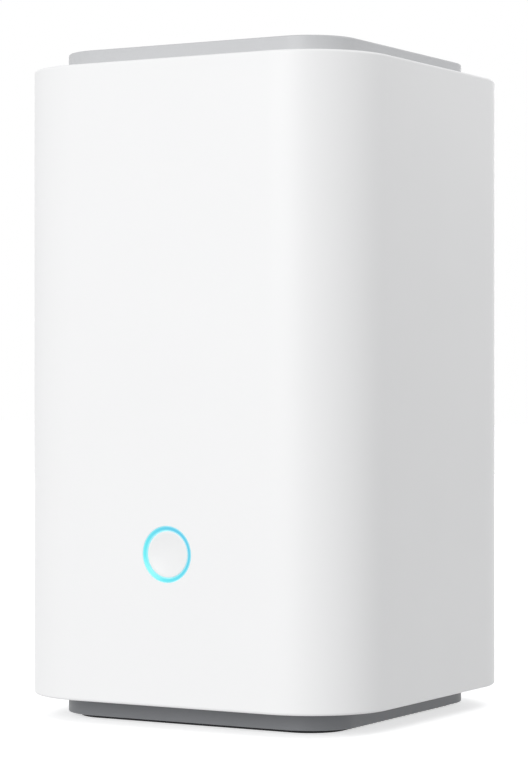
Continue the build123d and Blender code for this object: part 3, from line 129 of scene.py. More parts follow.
# The two posts inside the front that hold the button's board
BOARD_POST_REACH, BOARD_POST, BOARD_POST_END = 13.5, 2.5, 37.8
PILOT_RADIUS, PILOT_END = 0.85, 43.8

# The back: window for the socket panel, and the sound holes
WINDOW_Z, WINDOW_HALF_HEIGHT, WINDOW_HALF_WIDTH, WINDOW_CORNER = 59.5, 48.5, 12.0, 4.0
WINDOW_LIP, LIP_FACE, WINDOW_FLARE = 0.8, 45.9, 0.25
SPEAKER_Z, SOUND_HOLE, SOUND_FLARE = 130.0, 0.8, 0.12
SOUND_STEP, SOUND_RINGS = 2.9, 4

# How far the tools that cut the holes reach: through the front and back walls, through the
# shell's top, through the base's flange, and into the base's screw posts
WALL_CUT, TOP_CUT, FLANGE_CUT, POCKET_CUT = (44.8, 49.0), (155.0, 158.5), (6.0, 9.0), (1.2, 5.0)

# The rubber surround of the speaker's cone: its lips and the roll between them
LIP_OUTER, LIP_INNER, LIP_LOW, LIP_HIGH = 12.6, 9.2, 42.2, 42.6
ROLL_MIDDLE, ROLL_LEVEL, ROLL_INSIDE, ROLL_OUTSIDE = 10.9, 42.4, 0.7, 1.1
ROLL_PARTS, ROLL_STEPS, ROLL_TURN_STEPS = 12, 12, 6

# Angles in degrees over which an edge stays crisp or is rounded, and under which two faces
# count as one; distances in metres under which two points count as one
CRISP_EDGE, CRISP_ROLL_EDGE, ROUNDED_EDGE, FLAT = 33, 40, 40, 0.4
SAME_POINT, SAME_SOLID_POINT = 1e-7, 1e-6

# How a surface lies: where its width, depth and height point
UPWARD = np.array([[1, 0, 0], [0, 1, 0], [0, 0, 1]], float)
FORWARD = np.array([[1, 0, 0], [0, 0, 1], [0, -1, 0]], float)
BACKWARD = np.array([[0, 0, 1], [1, 0, 0], [0, 1, 0]], float)


# Surfaces
def square_ring(arc_steps=20, side_steps=4):
    """Points round a rounded square, as two arrays: the corner centre that each point belongs
    to, from -1 to 1 both ways, and the unit vector from that centre to the point. Round a
    corner the unit vector turns by a quarter, and along a side the centre slides from one
    corner to the next."""
    corners = np.array([[1, 1], [-1, 1], [-1, -1], [1, -1]], float)
    angle = np.arange(4)[:, None] * QUARTER_TURN + np.linspace(0, QUARTER_TURN, arc_steps + 1)
    turning = np.stack([np.cos(angle), np.sin(angle)], -1)
    standing = np.broadcast_to(corners[:, None], turning.shape)
    slide = (np.arange(1, side_steps) / side_steps)[None, :, None]
    sliding = corners[:, None] * (1 - slide) + np.roll(corners, -1, 0)[:, None] * slide
    facing = np.broadcast_to(turning[:, -1:], sliding.shape)
    centres = np.concatenate([standing, sliding], 1).reshape(-1, 2)
    return centres, np.concatenate([turning, facing], 1).reshape(-1, 2)


def round_ring(steps):
    """Points round a circle, in the form of square_ring: every centre is 0 and the unit
    vector makes one full turn."""
    angle = np.arange(steps) * 2 * math.pi / steps
    units = np.stack([np.cos(angle), np.sin(angle)], -1)
    return np.zeros_like(units), units


def skin(row_count, ring_count, loop=False):
    """Faces between neighbouring rows of points, where each row is closed into a ring. The
    first and last rows become flat faces, or join each other when loop is set."""
    number = np.arange(row_count * ring_count).reshape(row_count, ring_count)
    near = number if loop else number[:-1]
    far = np.roll(number, -1, 0) if loop else number[1:]
    faces = [np.stack([near, np.roll(near, -1, 1), np.roll(far, -1, 1), far], -1).reshape(-1, 4)]
    if not loop:
        faces += [number[:1, ::-1], number[-1:]]
    return faces


def surface(rows, ring, lie=UPWARD, place=(0, 0, 0), loop=False):
    """A profile carried round a ring. A row is half width, half depth, corner radius and
    height. Point (i, j) is place + (half - corner) times centre j + corner times unit j, each
    way, with the height of row i along the third direction of lie. The two ends are closed
    with flat faces, or joined to each other when loop is set."""
    width, depth, corner, height = np.asarray(rows, float).T[:, :, None]
    centres, units = ring
    across = (width - corner) * centres[:, 0] + corner * units[:, 0]
    along = (depth - corner) * centres[:, 1] + corner * units[:, 1]
    points = np.stack([across, along, np.broadcast_to(height, across.shape)], -1) @ lie
    return (points + np.asarray(place, float)).reshape(-1, 3), skin(*across.shape, loop)


def lathe(rows, steps, lie=UPWARD, place=(0, 0, 0), loop=False):
    """A profile turned round an axis: rows of radius and height."""
    radius, height = np.asarray(rows, float).T
    squares = np.stack([radius, radius, radius, height], -1)
    return surface(squares, round_ring(steps), lie, place, loop)


def bar(outline, low, high, turn=0.0):
    """An outline of (x, z) points pushed along y from low to high, closed at both ends, and
    turned by an angle round the z axis."""
    outline = np.asarray(outline, float)
    points = np.concatenate([np.insert(outline, 1, y, axis=1) for y in (low, high)])
    near = np.arange(len(outline))
    far = near + len(outline)
    sides = np.stack([near, np.roll(near, -1), np.roll(far, -1), far], -1)
    cos, sin = math.cos(turn), math.sin(turn)
    swing = np.array([[cos, sin, 0], [-sin, cos, 0], [0, 0, 1]])
    return points @ swing, [sides, near[None, ::-1], far[None]]


def repeated(part, places):
    """The same part at each of the places, as one array of points."""
    points, faces = part
    places = np.asarray(places, float)
    starts = (np.arange(len(places)) * len(points))[:, None, None]
    copies = [(block[None] + starts).reshape(-1, block.shape[1]) for block in faces]
    return (points[None] + places[:, None]).reshape(-1, 3), copies


def quarter(inner, outer, low, high, steps=6):
    """A quarter circle as rows of offset and height, from (inner, low) to (outer, high); it
    leaves level and arrives upright, or the reverse when the two heights fall."""
    angle = np.linspace(0, QUARTER_TURN, steps + 1)
    return inner + (outer - inner) * np.sin(angle), low + (high - low) * (1 - np.cos(angle))


def level(half, corner, height):
    """One row of a square profile."""
    return [[half, half, corner, height]]


def widened(half, corner, wider, height):
    """Rows of a square profile, each wider than the square by its own amount."""
    return np.stack([half + wider, half + wider, corner + wider, height], -1)


def rim(half, corner, round_size, low, high):
    """Rows of a square rim rounded by a quarter circle, level at low and upright at high."""
    return widened(half, corner, *quarter(-round_size, 0.0, low, high))


def mouth(flare, steps=6):
    """How much wider a hole in the shell's wall is at each depth of its rounded mouth, which
    is a quarter circle that ends at the wall's face."""
    wider, depth = quarter(flare, 0.0, SHELL_HALF, SHELL_HALF - flare, steps)
    return wider[::-1], depth[::-1]


def round_hole(radius, flare, steps, lie, place=(0, 0, 0), mouth_steps=6):
    """What is cut away for a round hole in the wall: a cylinder that widens at its mouth."""
    wider, depth = mouth(flare, mouth_steps)
    start, end = WALL_CUT
    rows = np.concatenate([
        [[radius, start]], np.stack([radius + wider, depth], -1), [[radius + flare, end]],
    ])
    return lathe(rows, steps, lie, place)


def added(name, data):
    obj = bpy.data.objects.new(name, data)
    bpy.context.scene.collection.objects.link(obj)
    return obj


def build(name, parts):
    """A piece of one mesh in metres, from parts in millimetres."""
    points, faces, start = [], [], 0
    for part_points, part_faces in parts:
        points.append(part_points)
        for block in part_faces:
            faces += (block + start).tolist()
        start += len(part_points)
    mesh = bpy.data.meshes.new(name)
    mesh.from_pydata(np.concatenate(points) * MM, [], faces)
    mesh.update()
    return added(name, mesh)


def cut(obj, parts):
    """Takes the parts out of the piece's mesh, for good."""
    tool = build("cutter", parts)
    step = obj.modifiers.new("cut", "BOOLEAN")
    step.operation, step.solver, step.object = "DIFFERENCE", "EXACT", tool
    graph = bpy.context.evaluated_depsgraph_get()
    whole, obj.data = obj.data, bpy.data.meshes.new_from_object(obj.evaluated_get(graph))
    obj.modifiers.clear()
    bpy.data.objects.remove(tool)
    bpy.data.meshes.remove(whole)


def joined(first, second):
    """Puts the second piece's mesh into the first, with its doubled points merged and the
    edges that no face uses taken out."""
    both = bmesh.new()
    both.from_mesh(first.data)
    both.from_mesh(second.data)
    bmesh.ops.remove_doubles(both, verts=both.verts, dist=SAME_POINT)
    loose = [edge for edge in both.edges if not edge.link_faces]
    bmesh.ops.delete(both, geom=loose, context="EDGES")
    both.to_mesh(first.data)
    both.free()
    bpy.data.objects.remove(second)
    return first


def smooth(obj, crisp):
    """Smooth shading with every edge over the crisp angle kept."""
    obj.data.shade_smooth()
    obj.data.set_sharp_from_angle(angle=math.radians(crisp))


def shaded(obj):
    """Smooth shading that keeps flat faces flat and clear edges crisp."""
    smooth(obj, CRISP_EDGE)
    even = obj.modifiers.new("even_shading", "WEIGHTED_NORMAL")
    even.keep_sharp = True
    return obj


# The outer pieces
def sound_places():
    """Middles of the sound holes: one at the centre, and 6 n of them spread evenly round
    ring n, which is n steps wide."""
    rings = np.arange(1, SOUND_RINGS + 1)
    ring = np.repeat(rings, 6 * rings)
    on_ring = np.arange(len(ring)) - 3 * ring * (ring - 1)
    angle = on_ring * 2 * math.pi / (6 * ring)
    reach = ring * SOUND_STEP
    places = np.stack([reach * np.sin(angle), 0 * angle, SPEAKER_Z + reach * np.cos(angle)], -1)
    return np.concatenate([[[0, 0, SPEAKER_Z]], places])


def panel_window():
    """What is cut away for the socket panel: a rounded oblong, narrower by a lip behind the
    panel and wider at its mouth."""
    outline = np.array([WINDOW_HALF_HEIGHT, WINDOW_HALF_WIDTH, WINDOW_CORNER])
    inside, outside = outline - WINDOW_LIP, outline + WINDOW_FLARE
    start, end = WALL_CUT
    wider, depth = mouth(WINDOW_FLARE)
    edge = np.concatenate([outline + wider[:, None], depth[:, None]], 1)
    rows = np.concatenate([
        [[*inside, start], [*inside, LIP_FACE], [*outline, LIP_FACE]], edge, [[*outside, end]],
    ])
    return surface(rows, square_ring(arc_steps=10, side_steps=2), BACKWARD, (0, 0, WINDOW_Z))


def outer_shell():
    """The white tower: its profile runs up the outside, over the rounded rims and the
    shoulder, down through the cap's opening and back down the inner wall."""
    inner_corner = SHELL_CORNER - SHELL_WALL
    ceiling = SHELL_TOP - SHELL_WALL
    rows = np.concatenate([
        rim(SHELL_HALF, SHELL_CORNER, RIM_ROUND, SHELL_BOTTOM, SHELL_BOTTOM + RIM_ROUND),
        rim(SHELL_HALF, SHELL_CORNER, RIM_ROUND, SHELL_TOP, SHELL_TOP - RIM_ROUND)[::-1],
        level(OPENING_HALF, OPENING_CORNER, SHELL_TOP),
        level(OPENING_HALF, OPENING_CORNER, ceiling),
        level(SHELL_INSIDE, inner_corner, ceiling),
        level(SHELL_INSIDE, inner_corner, SHELL_BOTTOM),
    ])
    ring = square_ring(arc_steps=28, side_steps=6)
    shell = build("tower_shell", [surface(rows, ring, loop=True)])

    low, high = TOP_CUT
    screw_hole = lathe([
        [SCREW_SHANK, low], [SCREW_SHANK, SHELL_SEAT],
        [SCREW_HEAD, SHELL_SEAT], [SCREW_HEAD, high],
    ], steps=32)
    sound_hole = round_hole(SOUND_HOLE, SOUND_FLARE, 20, BACKWARD, mouth_steps=4)
    cut(shell, [
        round_hole(RING_HOLE, RING_FLARE, 96, FORWARD, (0, 0, BUTTON_Z)),
        repeated(sound_hole, sound_places()),
        panel_window(),
        repeated(screw_hole, SCREW_PLACES),
    ])

    post = lathe([
        [BOARD_POST, BOARD_POST_END], [BOARD_POST, SHELL_INSIDE], [0.0, SHELL_INSIDE],
        [0.0, PILOT_END], [PILOT_RADIUS, PILOT_END], [PILOT_RADIUS, BOARD_POST_END],
    ], steps=32, lie=FORWARD, place=(0, 0, BUTTON_Z), loop=True)
    places = [(-BOARD_POST_REACH, 0, 0), (BOARD_POST_REACH, 0, 0)]
    return joined(shell, build("board_posts", [repeated(post, places)]))


def cap():
    """The grey cap: a shallow tray upside down whose rim is a quarter circle, with two hooks
    on each of its four sides."""
    inner_half, inner_corner = PLINTH_HALF - CAP_WALL, PLINTH_CORNER - CAP_WALL
    rows = np.concatenate([
        level(inner_half, inner_corner, CAP_CEILING),
        level(inner_half, inner_corner, SHELL_TOP),
        level(PLINTH_HALF, PLINTH_CORNER, SHELL_TOP),
        rim(PLINTH_HALF, PLINTH_CORNER, CAP_ROUND, CAP_TOP, CAP_TOP - CAP_ROUND)[::-1],
    ])
    face, under = OPENING_HALF - HOOK_GAP, SHELL_TOP - SHELL_WALL - HOOK_GAP
    back, tip = face - HOOK_THICKNESS, under - HOOK_TIP
    hook = [(face, CAP_CEILING), (face, under), (face + HOOK_BARB, under), (face, tip),
            (back, tip), (back, CAP_CEILING)]
    hooks = [
        bar(hook, middle - HOOK_HALF_WIDTH, middle + HOOK_HALF_WIDTH, side * QUARTER_TURN)
        for side in range(4) for middle in (-HOOK_SPREAD, HOOK_SPREAD)
    ]
    return build("grey_cap", [surface(rows, square_ring(arc_steps=24, side_steps=4)), *hooks])


def base():
    """The dark base: a plinth with a quarter-circle edge below and a flange above, hollow
    from the top, with vents, the foot's groove and the screw pockets cut out."""
    inner_half, inner_corner = PLINTH_HALF - BASE_WALL, PLINTH_CORNER - BASE_WALL
    flange_half, flange_corner = SHELL_HALF - FLANGE_INSET, SHELL_CORNER - FLANGE_INSET
    rows = np.concatenate([
        rim(PLINTH_HALF, PLINTH_CORNER, BASE_ROUND, BASE_BOTTOM, BASE_BOTTOM + BASE_ROUND),
        level(PLINTH_HALF, PLINTH_CORNER, FLANGE_BOTTOM),
        level(flange_half, flange_corner, FLANGE_BOTTOM),
        level(flange_half, flange_corner, FLANGE_TOP),
        level(inner_half, inner_corner, FLANGE_TOP),
        level(inner_half, inner_corner, BASE_FLOOR),
    ])
    plinth = build("dark_base", [surface(rows, square_ring(arc_steps=24, side_steps=4))])

    groove = surface(
        np.concatenate([
            level(FOOT_HALF, FOOT_CORNER, 0.0), level(FOOT_HALF, FOOT_CORNER, FOOT_TOP),
            level(FOOT_HOLE_HALF, FOOT_HOLE_CORNER, FOOT_TOP),
            level(FOOT_HOLE_HALF, FOOT_HOLE_CORNER, 0.0),
        ]),
        square_ring(arc_steps=16, side_steps=2), loop=True,
    )
    steps = np.arange(-VENTS_EACH_WAY, VENTS_EACH_WAY + 1) * VENT_STEP
    ends = [(x, side * VENT_REACH, 0) for side in (-1, 1) for x in steps]
    sides = [(side * VENT_REACH, y, 0) for side in (-1, 1) for y in steps]
    ring = square_ring(arc_steps=6, side_steps=2)
    vent, cross_vent = (
        surface([[*halves, VENT_HALF_WIDTH, height] for height in FLANGE_CUT], ring)
        for halves in ((VENT_HALF_WIDTH, VENT_HALF_LENGTH), (VENT_HALF_LENGTH, VENT_HALF_WIDTH))
    )
    pocket = lathe([[SCREW_HEAD, height] for height in POCKET_CUT], steps=32)
    cut(plinth, [
        groove, repeated(vent, ends), repeated(cross_vent, sides), repeated(pocket, SCREW_PLACES),
    ])

    post = lathe([
        [BASE_POST, BASE_POST_BOTTOM], [BASE_POST, FLANGE_TOP], [SCREW_SHANK, FLANGE_TOP],
        [SCREW_SHANK, BASE_SEAT], [SCREW_HEAD, BASE_SEAT], [SCREW_HEAD, BASE_POST_BOTTOM],
    ], steps=40, loop=True)
    return joined(plinth, build("screw_posts", [repeated(post, SCREW_PLACES)]))


def foot():
    """The rubber foot: a square ring whose two lower edges are quarter circles."""
    hole = widened(FOOT_HOLE_HALF, FOOT_HOLE_CORNER, *quarter(FOOT_ROUND, 0.0, 0.0, FOOT_ROUND))
    rows = np.concatenate([
        rim(FOOT_HALF, FOOT_CORNER, FOOT_ROUND, 0.0, FOOT_ROUND),
        level(FOOT_HALF, FOOT_CORNER, FOOT_TOP),
        level(FOOT_HOLE_HALF, FOOT_HOLE_CORNER, FOOT_TOP),
        hole[::-1],
    ])
    ring = square_ring(arc_steps=20, side_steps=2)
    return build("rubber_ring", [surface(rows, ring, loop=True)])


def light_ring():
    """The clear ring: its front slopes in to the button and is crowned by a low arc, and its
    skirt runs back to the lamps."""
    share = np.linspace(0, 1, 9)
    crown = CROWN_DEPTH - CROWN_FALL * share + CROWN_RISE * np.sin(math.pi * share)
    rows = np.concatenate([
        [[SKIRT_OUTER, SKIRT_END], [SKIRT_OUTER, SHELL_INSIDE], [RING_OUTER, SHELL_INSIDE],
         [RING_OUTER, RING_OUTER_EDGE]],
        np.stack([CROWN_OUTER - CROWN_WIDTH * share, crown], -1),
        [[RING_INNER, RING_INNER_EDGE], [RING_INNER, RING_BACK], [SKIRT_INNER, RING_BACK],
         [SKIRT_INNER, SKIRT_END]],
    ])
    return build("ring_of_light", [lathe(rows, 128, FORWARD, (0, 0, BUTTON_Z), loop=True)])


def button():
    """The push button: a disc whose face sinks by a parabola to the middle, with a rounded
    edge, a flange that keeps it in and a stem."""
    reach = np.linspace(DISH_RADIUS, DISH_MIDDLE, 18)
    dish = np.stack([reach, FACE_DEPTH - DISH_SINK * (1 - (reach / DISH_RADIUS) ** 2)], -1)
    offset, depth = quarter(-BUTTON_EDGE, 0.0, FACE_DEPTH, FACE_DEPTH - BUTTON_EDGE)
    edge = np.stack([BUTTON_RADIUS + offset, depth], -1)[::-1]
    rows = np.concatenate([
        [[STEM_RADIUS, STEM_END], [STEM_RADIUS, HOLLOW_CEILING], [HOLLOW_RADIUS, HOLLOW_CEILING],
         [HOLLOW_RADIUS, KEEPER_BACK], [KEEPER_RADIUS, KEEPER_BACK],
         [KEEPER_RADIUS, KEEPER_FRONT], [BUTTON_RADIUS, KEEPER_FRONT]],
        edge, dish,
    ])
    return build("dished_button", [lathe(rows, 128, FORWARD, (0, 0, BUTTON_Z))])


def roll_part(number):
    """One part of the cone's surround. The section is a flat lip, a half circle and a flat
    lip, and it is turned about the speaker's axis through one share of the full turn, with a
    flat face at each end. Returns the piece and the way from the axis to its middle."""
    over = np.linspace(0, math.pi, ROLL_STEPS + 1)[:, None]
    half_round = np.concatenate([np.cos(over), np.sin(over)], 1)
    middle = np.array([ROLL_MIDDLE, ROLL_LEVEL])
    outside = middle + ROLL_OUTSIDE * half_round
    outside[[0, -1], 1] = LIP_HIGH
    section = np.concatenate([
        [[LIP_OUTER, LIP_LOW], [LIP_OUTER, LIP_HIGH]],
        outside,
        [[LIP_INNER, LIP_HIGH], [LIP_INNER, LIP_LOW], [ROLL_MIDDLE - ROLL_INSIDE, LIP_LOW]],
        middle + ROLL_INSIDE * half_round[::-1],
        [[ROLL_MIDDLE + ROLL_INSIDE, LIP_LOW]],
    ])[::-1]
    share = 2 * math.pi / ROLL_PARTS
    turn = (number + np.linspace(-0.5, 0.5, ROLL_TURN_STEPS + 1)[:, None]) * share
    radius, depth = section.T
    across = radius * np.sin(turn)
    points = np.stack([
        across, np.broadcast_to(depth, across.shape), SPEAKER_Z + radius * np.cos(turn),
    ], -1)
    part = build(f"cone_roll_{number + 1}", [(points.reshape(-1, 3), skin(*across.shape))])
    return part, np.array([math.sin(number * share), 0.0, math.cos(number * share)])


def softened(name, node, width):
    """A copy of a solid's mesh with its doubled points merged, its flat faces made whole and
    its edges rounded."""
    mesh = frame["nodes"][node].data.copy()
    mesh.name = name
    whole = bmesh.new()
    whole.from_mesh(mesh)
    bmesh.ops.remove_doubles(whole, verts=whole.verts, dist=SAME_SOLID_POINT)
    bmesh.ops.dissolve_limit(
        whole, angle_limit=math.radians(FLAT), verts=whole.verts, edges=whole.edges
    )
    whole.to_mesh(mesh)
    whole.free()
    if "custom_normal" in mesh.attributes:
        mesh.attributes.remove(mesh.attributes["custom_normal"])
    copy = added(name, mesh)
    edges = copy.modifiers.new("rounded_edges", "BEVEL")
    edges.width, edges.segments = width * MM, 2
    edges.limit_method, edges.angle_limit = "ANGLE", math.radians(ROUNDED_EDGE)
    return copy


# Shader nodes
def put(tree, kind, inputs=None, **settings):
    """Adds a node. inputs maps a socket to a plain value or to another node's output."""
    node = tree.nodes.new(kind)
    for name, value in settings.items():
        setattr(node, name, value)
    for socket, value in (inputs or {}).items():
        if isinstance(value, bpy.types.NodeSocket):
            tree.links.new(value, node.inputs[socket])
        else:
            node.inputs[socket].default_value = value
    return node


def maths(tree, operation, first, second=0.0):
    """The result of a sum or comparison of two values."""
    return put(tree, "ShaderNodeMath", {0: first, 1: second}, operation=operation).outputs[0]


def ranged(tree, value, low, high, from_low=0.0, from_high=1.0):
    """Carries a value from one range to another, and holds it inside the new one."""
    node = put(tree, "ShaderNodeMapRange", {
        "Value": value, "From Min": from_low, "From Max": from_high,
        "To Min": low, "To Max": high,
    })
    return node.outputs["Result"]


def mixed(tree, share, first, second):
    """A colour that lies a share of the way from the first to the second. Each of them is
    red, green and blue, or another node's colour. They go into the node's sockets 6 and 7."""
    first, second = ((*colour, 1.0) if isinstance(colour, tuple) else colour
                     for colour in (first, second))
    node = put(tree, "ShaderNodeMix", {"Factor": share, 6: first, 7: second}, data_type="RGBA")
    return node.outputs[2]


def effect(name, fill):
    """A node group that turns a position into a mask, a roughness and a normal."""
    tree = bpy.data.node_groups.new(name, "ShaderNodeTree")
    face = tree.interface
    face.new_socket("Position", in_out="INPUT", socket_type="NodeSocketVector")
    for label in ("Scale", "Depth", "Low", "High"):
        face.new_socket(label, in_out="INPUT", socket_type="NodeSocketFloat")
    face.new_socket("Mask", in_out="OUTPUT", socket_type="NodeSocketFloat")
    face.new_socket("Roughness", in_out="OUTPUT", socket_type="NodeSocketFloat")
    face.new_socket("Normal", in_out="OUTPUT", socket_type="NodeSocketVector")
    given = tree.nodes.new("NodeGroupInput").outputs
    mask, height, rough = fill(tree, given["Position"], given["Scale"])
    bump = put(tree, "ShaderNodeBump", {
        "Strength": 1.0, "Distance": given["Depth"], "Height": height,
    })
    result = tree.nodes.new("NodeGroupOutput").inputs
    tree.links.new(mask, result["Mask"])
    tree.links.new(ranged(tree, rough, given["Low"], given["High"]), result["Roughness"])
    tree.links.new(bump.outputs["Normal"], result["Normal"])
    return tree


def noise(tree, position, scale, detail=3.0, roughness=0.5):
    """Cloudy noise from 0 to 1."""
    node = put(tree, "ShaderNodeTexNoise", {
        "Vector": position, "Scale": scale, "Detail": detail, "Roughness": roughness,
    })
    return node.outputs["Fac"]


def moulded(tree, position, scale):
    """Spark-eroded grain of a mould, and drifts in gloss fifty times as wide."""
    fine = noise(tree, position, scale, 4.0, 0.6)
    slow = noise(tree, position, maths(tree, "MULTIPLY", scale, 1 / 50), 2.0)
    return slow, fine, slow


def drawn(tree, position, scale):
    """Fine lines along one direction, as on rolled or turned metal: noise that is drawn out
    along y, with drifts in gloss twenty times as wide."""
    stretched = put(tree, "ShaderNodeVectorMath", {0: position, 1: (1.0, 0.03, 1.0)},
                    operation="MULTIPLY").outputs[0]
    lines = noise(tree, stretched, scale, 5.0, 0.7)
    return lines, lines, noise(tree, position, maths(tree, "MULTIPLY", scale, 1 / 20))


def cells(tree, position, scale):
    """Small closed cells, as in foam, ferrite and filled rubber."""
    node = put(tree, "ShaderNodeTexVoronoi", {"Vector": position, "Scale": scale})
    distance = node.outputs["Distance"]
    return distance, distance, noise(tree, position, scale)


def tracks(tree, position, scale):
    """Copper tracks and round pads under solder mask: thin lines between staggered blocks,
    with dots at random places."""
    split = put(tree, "ShaderNodeSeparateXYZ", {0: position}).outputs
    flat = put(tree, "ShaderNodeCombineXYZ", {
        0: maths(tree, "ADD", split[0], split[1]), 1: split[2],
    }).outputs[0]
    blocks = put(tree, "ShaderNodeTexBrick", {
        "Vector": flat, "Scale": scale, "Mortar Size": 0.03, "Mortar Smooth": 0.1,
        "Brick Width": 1.7, "Row Height": 0.28,
    }, offset=0.37, squash=0.6, squash_frequency=3)
    dots = put(tree, "ShaderNodeTexVoronoi", {"Vector": position, "Scale": scale})
    pads = maths(tree, "LESS_THAN", dots.outputs["Distance"], 0.12)
    mask = maths(tree, "MAXIMUM", blocks.outputs["Fac"], pads)
    return mask, mask, noise(tree, position, scale)


def woven(tree, position, scale):
    """Two sets of threads that pass over and under each other: the product of two sines
    gives the over and under, and the gaps lie where both sines cross zero."""
    split = put(tree, "ShaderNodeSeparateXYZ", {0: position}).outputs
    waves = [maths(tree, "SINE", maths(tree, "MULTIPLY", split[axis], scale)) for axis in (0, 2)]
    height = maths(tree, "MULTIPLY", waves[0], waves[1])
    thread = maths(tree, "MAXIMUM", *[maths(tree, "ABSOLUTE", wave) for wave in waves])
    return thread, height, thread


def banded(tree, position, scale):
    """Even bands along the first direction, such as turns of wire or conductors of a film."""
    bands = put(tree, "ShaderNodeTexWave", {"Vector": position, "Scale": scale},
                wave_profile="SIN").outputs["Fac"]
    return bands, bands, noise(tree, position, scale)


effects = {fill.__name__: effect(fill.__name__, fill)
           for fill in (moulded, drawn, cells, tracks, woven, banded)}

# Each finish: effect, its scale, its depth in millimetres, roughness from and to, how far the
# colour moves with the effect's mask (a share, or a second colour), and the shader's own values
FINISHES = {
    "white_shell": ("moulded", 2600, 0.004, 0.40, 0.48, 0.985, {}),
    "grey_cap": ("moulded", 2600, 0.006, 0.40, 0.46, 0.965, {}),
    "dark_base": ("moulded", 2200, 0.010, 0.42, 0.52, 1.16, {}),
    "black_rubber": ("cells", 2200, 0.015, 0.75, 0.9, 1.4, {"Specular IOR Level": 0.3}),
    "white_button": ("moulded", 3200, 0.003, 0.34, 0.42, 0.985, {}),
    "panel_grey": ("moulded", 1500, 0.030, 0.5, 0.62, 0.9, {}),
    "frame_plastic": ("moulded", 1500, 0.012, 0.5, 0.65, 0.85, {}),
    "steel": ("drawn", 2400, 0.003, 0.25, 0.42, 0.85, {"Metallic": 1.0}),
    "shield_steel": ("drawn", 1800, 0.003, 0.22, 0.38, 0.88, {"Metallic": 1.0}),
    "gold": ("drawn", 3000, 0.001, 0.15, 0.28, 0.9, {"Metallic": 1.0}),
    "board_green": ("tracks", 160, 0.03, 0.25, 0.4, (0.07, 0.34, 0.16), {"Coat Weight": 0.3}),
    "board_white": ("tracks", 220, 0.03, 0.3, 0.45, (0.72, 0.74, 0.7), {"Coat Weight": 0.2}),
    "chip_black": ("moulded", 3500, 0.01, 0.55, 0.7, 1.5, {}),
    "connector_white": ("moulded", 1600, 0.006, 0.35, 0.5, 0.95, {}),
    "connector_black": ("moulded", 1600, 0.005, 0.3, 0.42, 0.8, {}),
    "lamp_clear": ("moulded", 900, 0.004, 0.08, 0.16, 0.93, {"Coat Weight": 0.6}),
    "led_white": ("cells", 1500, 0.01, 0.2, 0.35, 0.85, {"Coat Weight": 0.4}),
    "foam_black": ("cells", 3000, 0.05, 0.85, 0.98, 1.8, {"Specular IOR Level": 0.2}),
    "pad_grey": ("cells", 2500, 0.02, 0.6, 0.75, 0.9, {}),
    "aluminium": ("drawn", 1500, 0.006, 0.28, 0.45, 0.85, {"Metallic": 1.0}),
    "coil_grey": ("cells", 2600, 0.02, 0.6, 0.8, 1.3, {}),
    "capacitor_sleeve": ("drawn", 2000, 0.003, 0.22, 0.36, 0.88, {"Metallic": 1.0}),
    "copper": ("banded", 900, 0.03, 0.2, 0.35, 0.7, {"Metallic": 1.0}),
    "paper_cone": ("moulded", 900, 0.04, 0.8, 0.95, 1.5, {"Specular IOR Level": 0.2}),
    "cloth_mesh": ("woven", 9000, 0.06, 0.7, 0.9, 3.0, {"Specular IOR Level": 0.3}),
    "magnet_nickel": ("moulded", 600, 0.002, 0.1, 0.2, 0.95, {"Metallic": 1.0}),
    "wire_black": ("moulded", 2000, 0.006, 0.4, 0.55, 1.3, {}),
    "ribbon_film": ("banded", 260, 0.01, 0.18, 0.3, (0.5, 0.25, 0.06), {"Coat Weight": 0.5}),
}
# Bands run round the coil and along the film, so their pattern is turned
TURNED = {"copper": (0, 0, -QUARTER_TURN), "ribbon_film": (0, QUARTER_TURN, 0)}
# The upward faces are matt. These are the heights between which the shine goes
MATT_FROM = {
    "white_shell": (SHELL_TOP - RIM_ROUND / 2, SHELL_TOP),
    "grey_cap": (CAP_TOP - CAP_ROUND / 2, CAP_TOP),
}
colour_of = {row["slot"]: tuple(row["base_color"]) for row in frame["record"]["materials"]}


def finish(slot):
    """The material of a slot: its colour comes from the record, and one effect group moves
    its colour, its roughness and its normal."""
    name, scale, depth, low, high, other, values = FINISHES[slot]
    material = bpy.data.materials.new(slot)
    material.use_nodes = True
    tree = material.node_tree
    shader = tree.nodes["Principled BSDF"]
    position = put(tree, "ShaderNodeTexCoord").outputs["Object"]
    if slot in TURNED:
        position = put(tree, "ShaderNodeMapping",
                       {"Vector": position, "Rotation": TURNED[slot]}).outputs[0]
    group = put(tree, "ShaderNodeGroup", node_tree=effects[name])
    tree.links.new(position, group.inputs["Position"])
    for label, value in (("Scale", scale), ("Depth", depth * MM), ("Low", low), ("High", high)):
        group.inputs[label].default_value = value
    colour = colour_of[slot]
    if not isinstance(other, tuple):
        other = tuple(min(1.0, part * other) for part in colour)
    varied = mixed(tree, group.outputs["Mask"], colour, other)
    tree.links.new(varied, shader.inputs["Base Color"])
    roughness = group.outputs["Roughness"]
    if slot in MATT_FROM:
        height = put(tree, "ShaderNodeSeparateXYZ", {0: position}).outputs[2]
        start, end = (limit * MM for limit in MATT_FROM[slot])
        roughness = maths(tree, "ADD", roughness, ranged(tree, height, 0.0, 0.55, start, end))
    tree.links.new(roughness, shader.inputs["Roughness"])
    tree.links.new(group.outputs["Normal"], shader.inputs["Normal"])
    for socket, value in values.items():
        shader.inputs[socket].default_value = value
    return material


# The glow: its colours, the stretch over which it turns from the first to the second, how far
# to either side of the ring's middle it grows paler, and the tints of the clear plastic
PALE_CYAN, DEEP_BLUE, EDGE_GLOW = (0.12, 0.86, 0.90), (0.07, 0.56, 0.78), (0.5, 0.93, 0.97)
GLOW_START, GLOW_END = -6.0, 5.0
PALER_FROM, PALER_TO = 0.2, 0.46
CLEAR_TINTS = (0.03, 0.09, 0.11), (0.02, 0.07, 0.09)


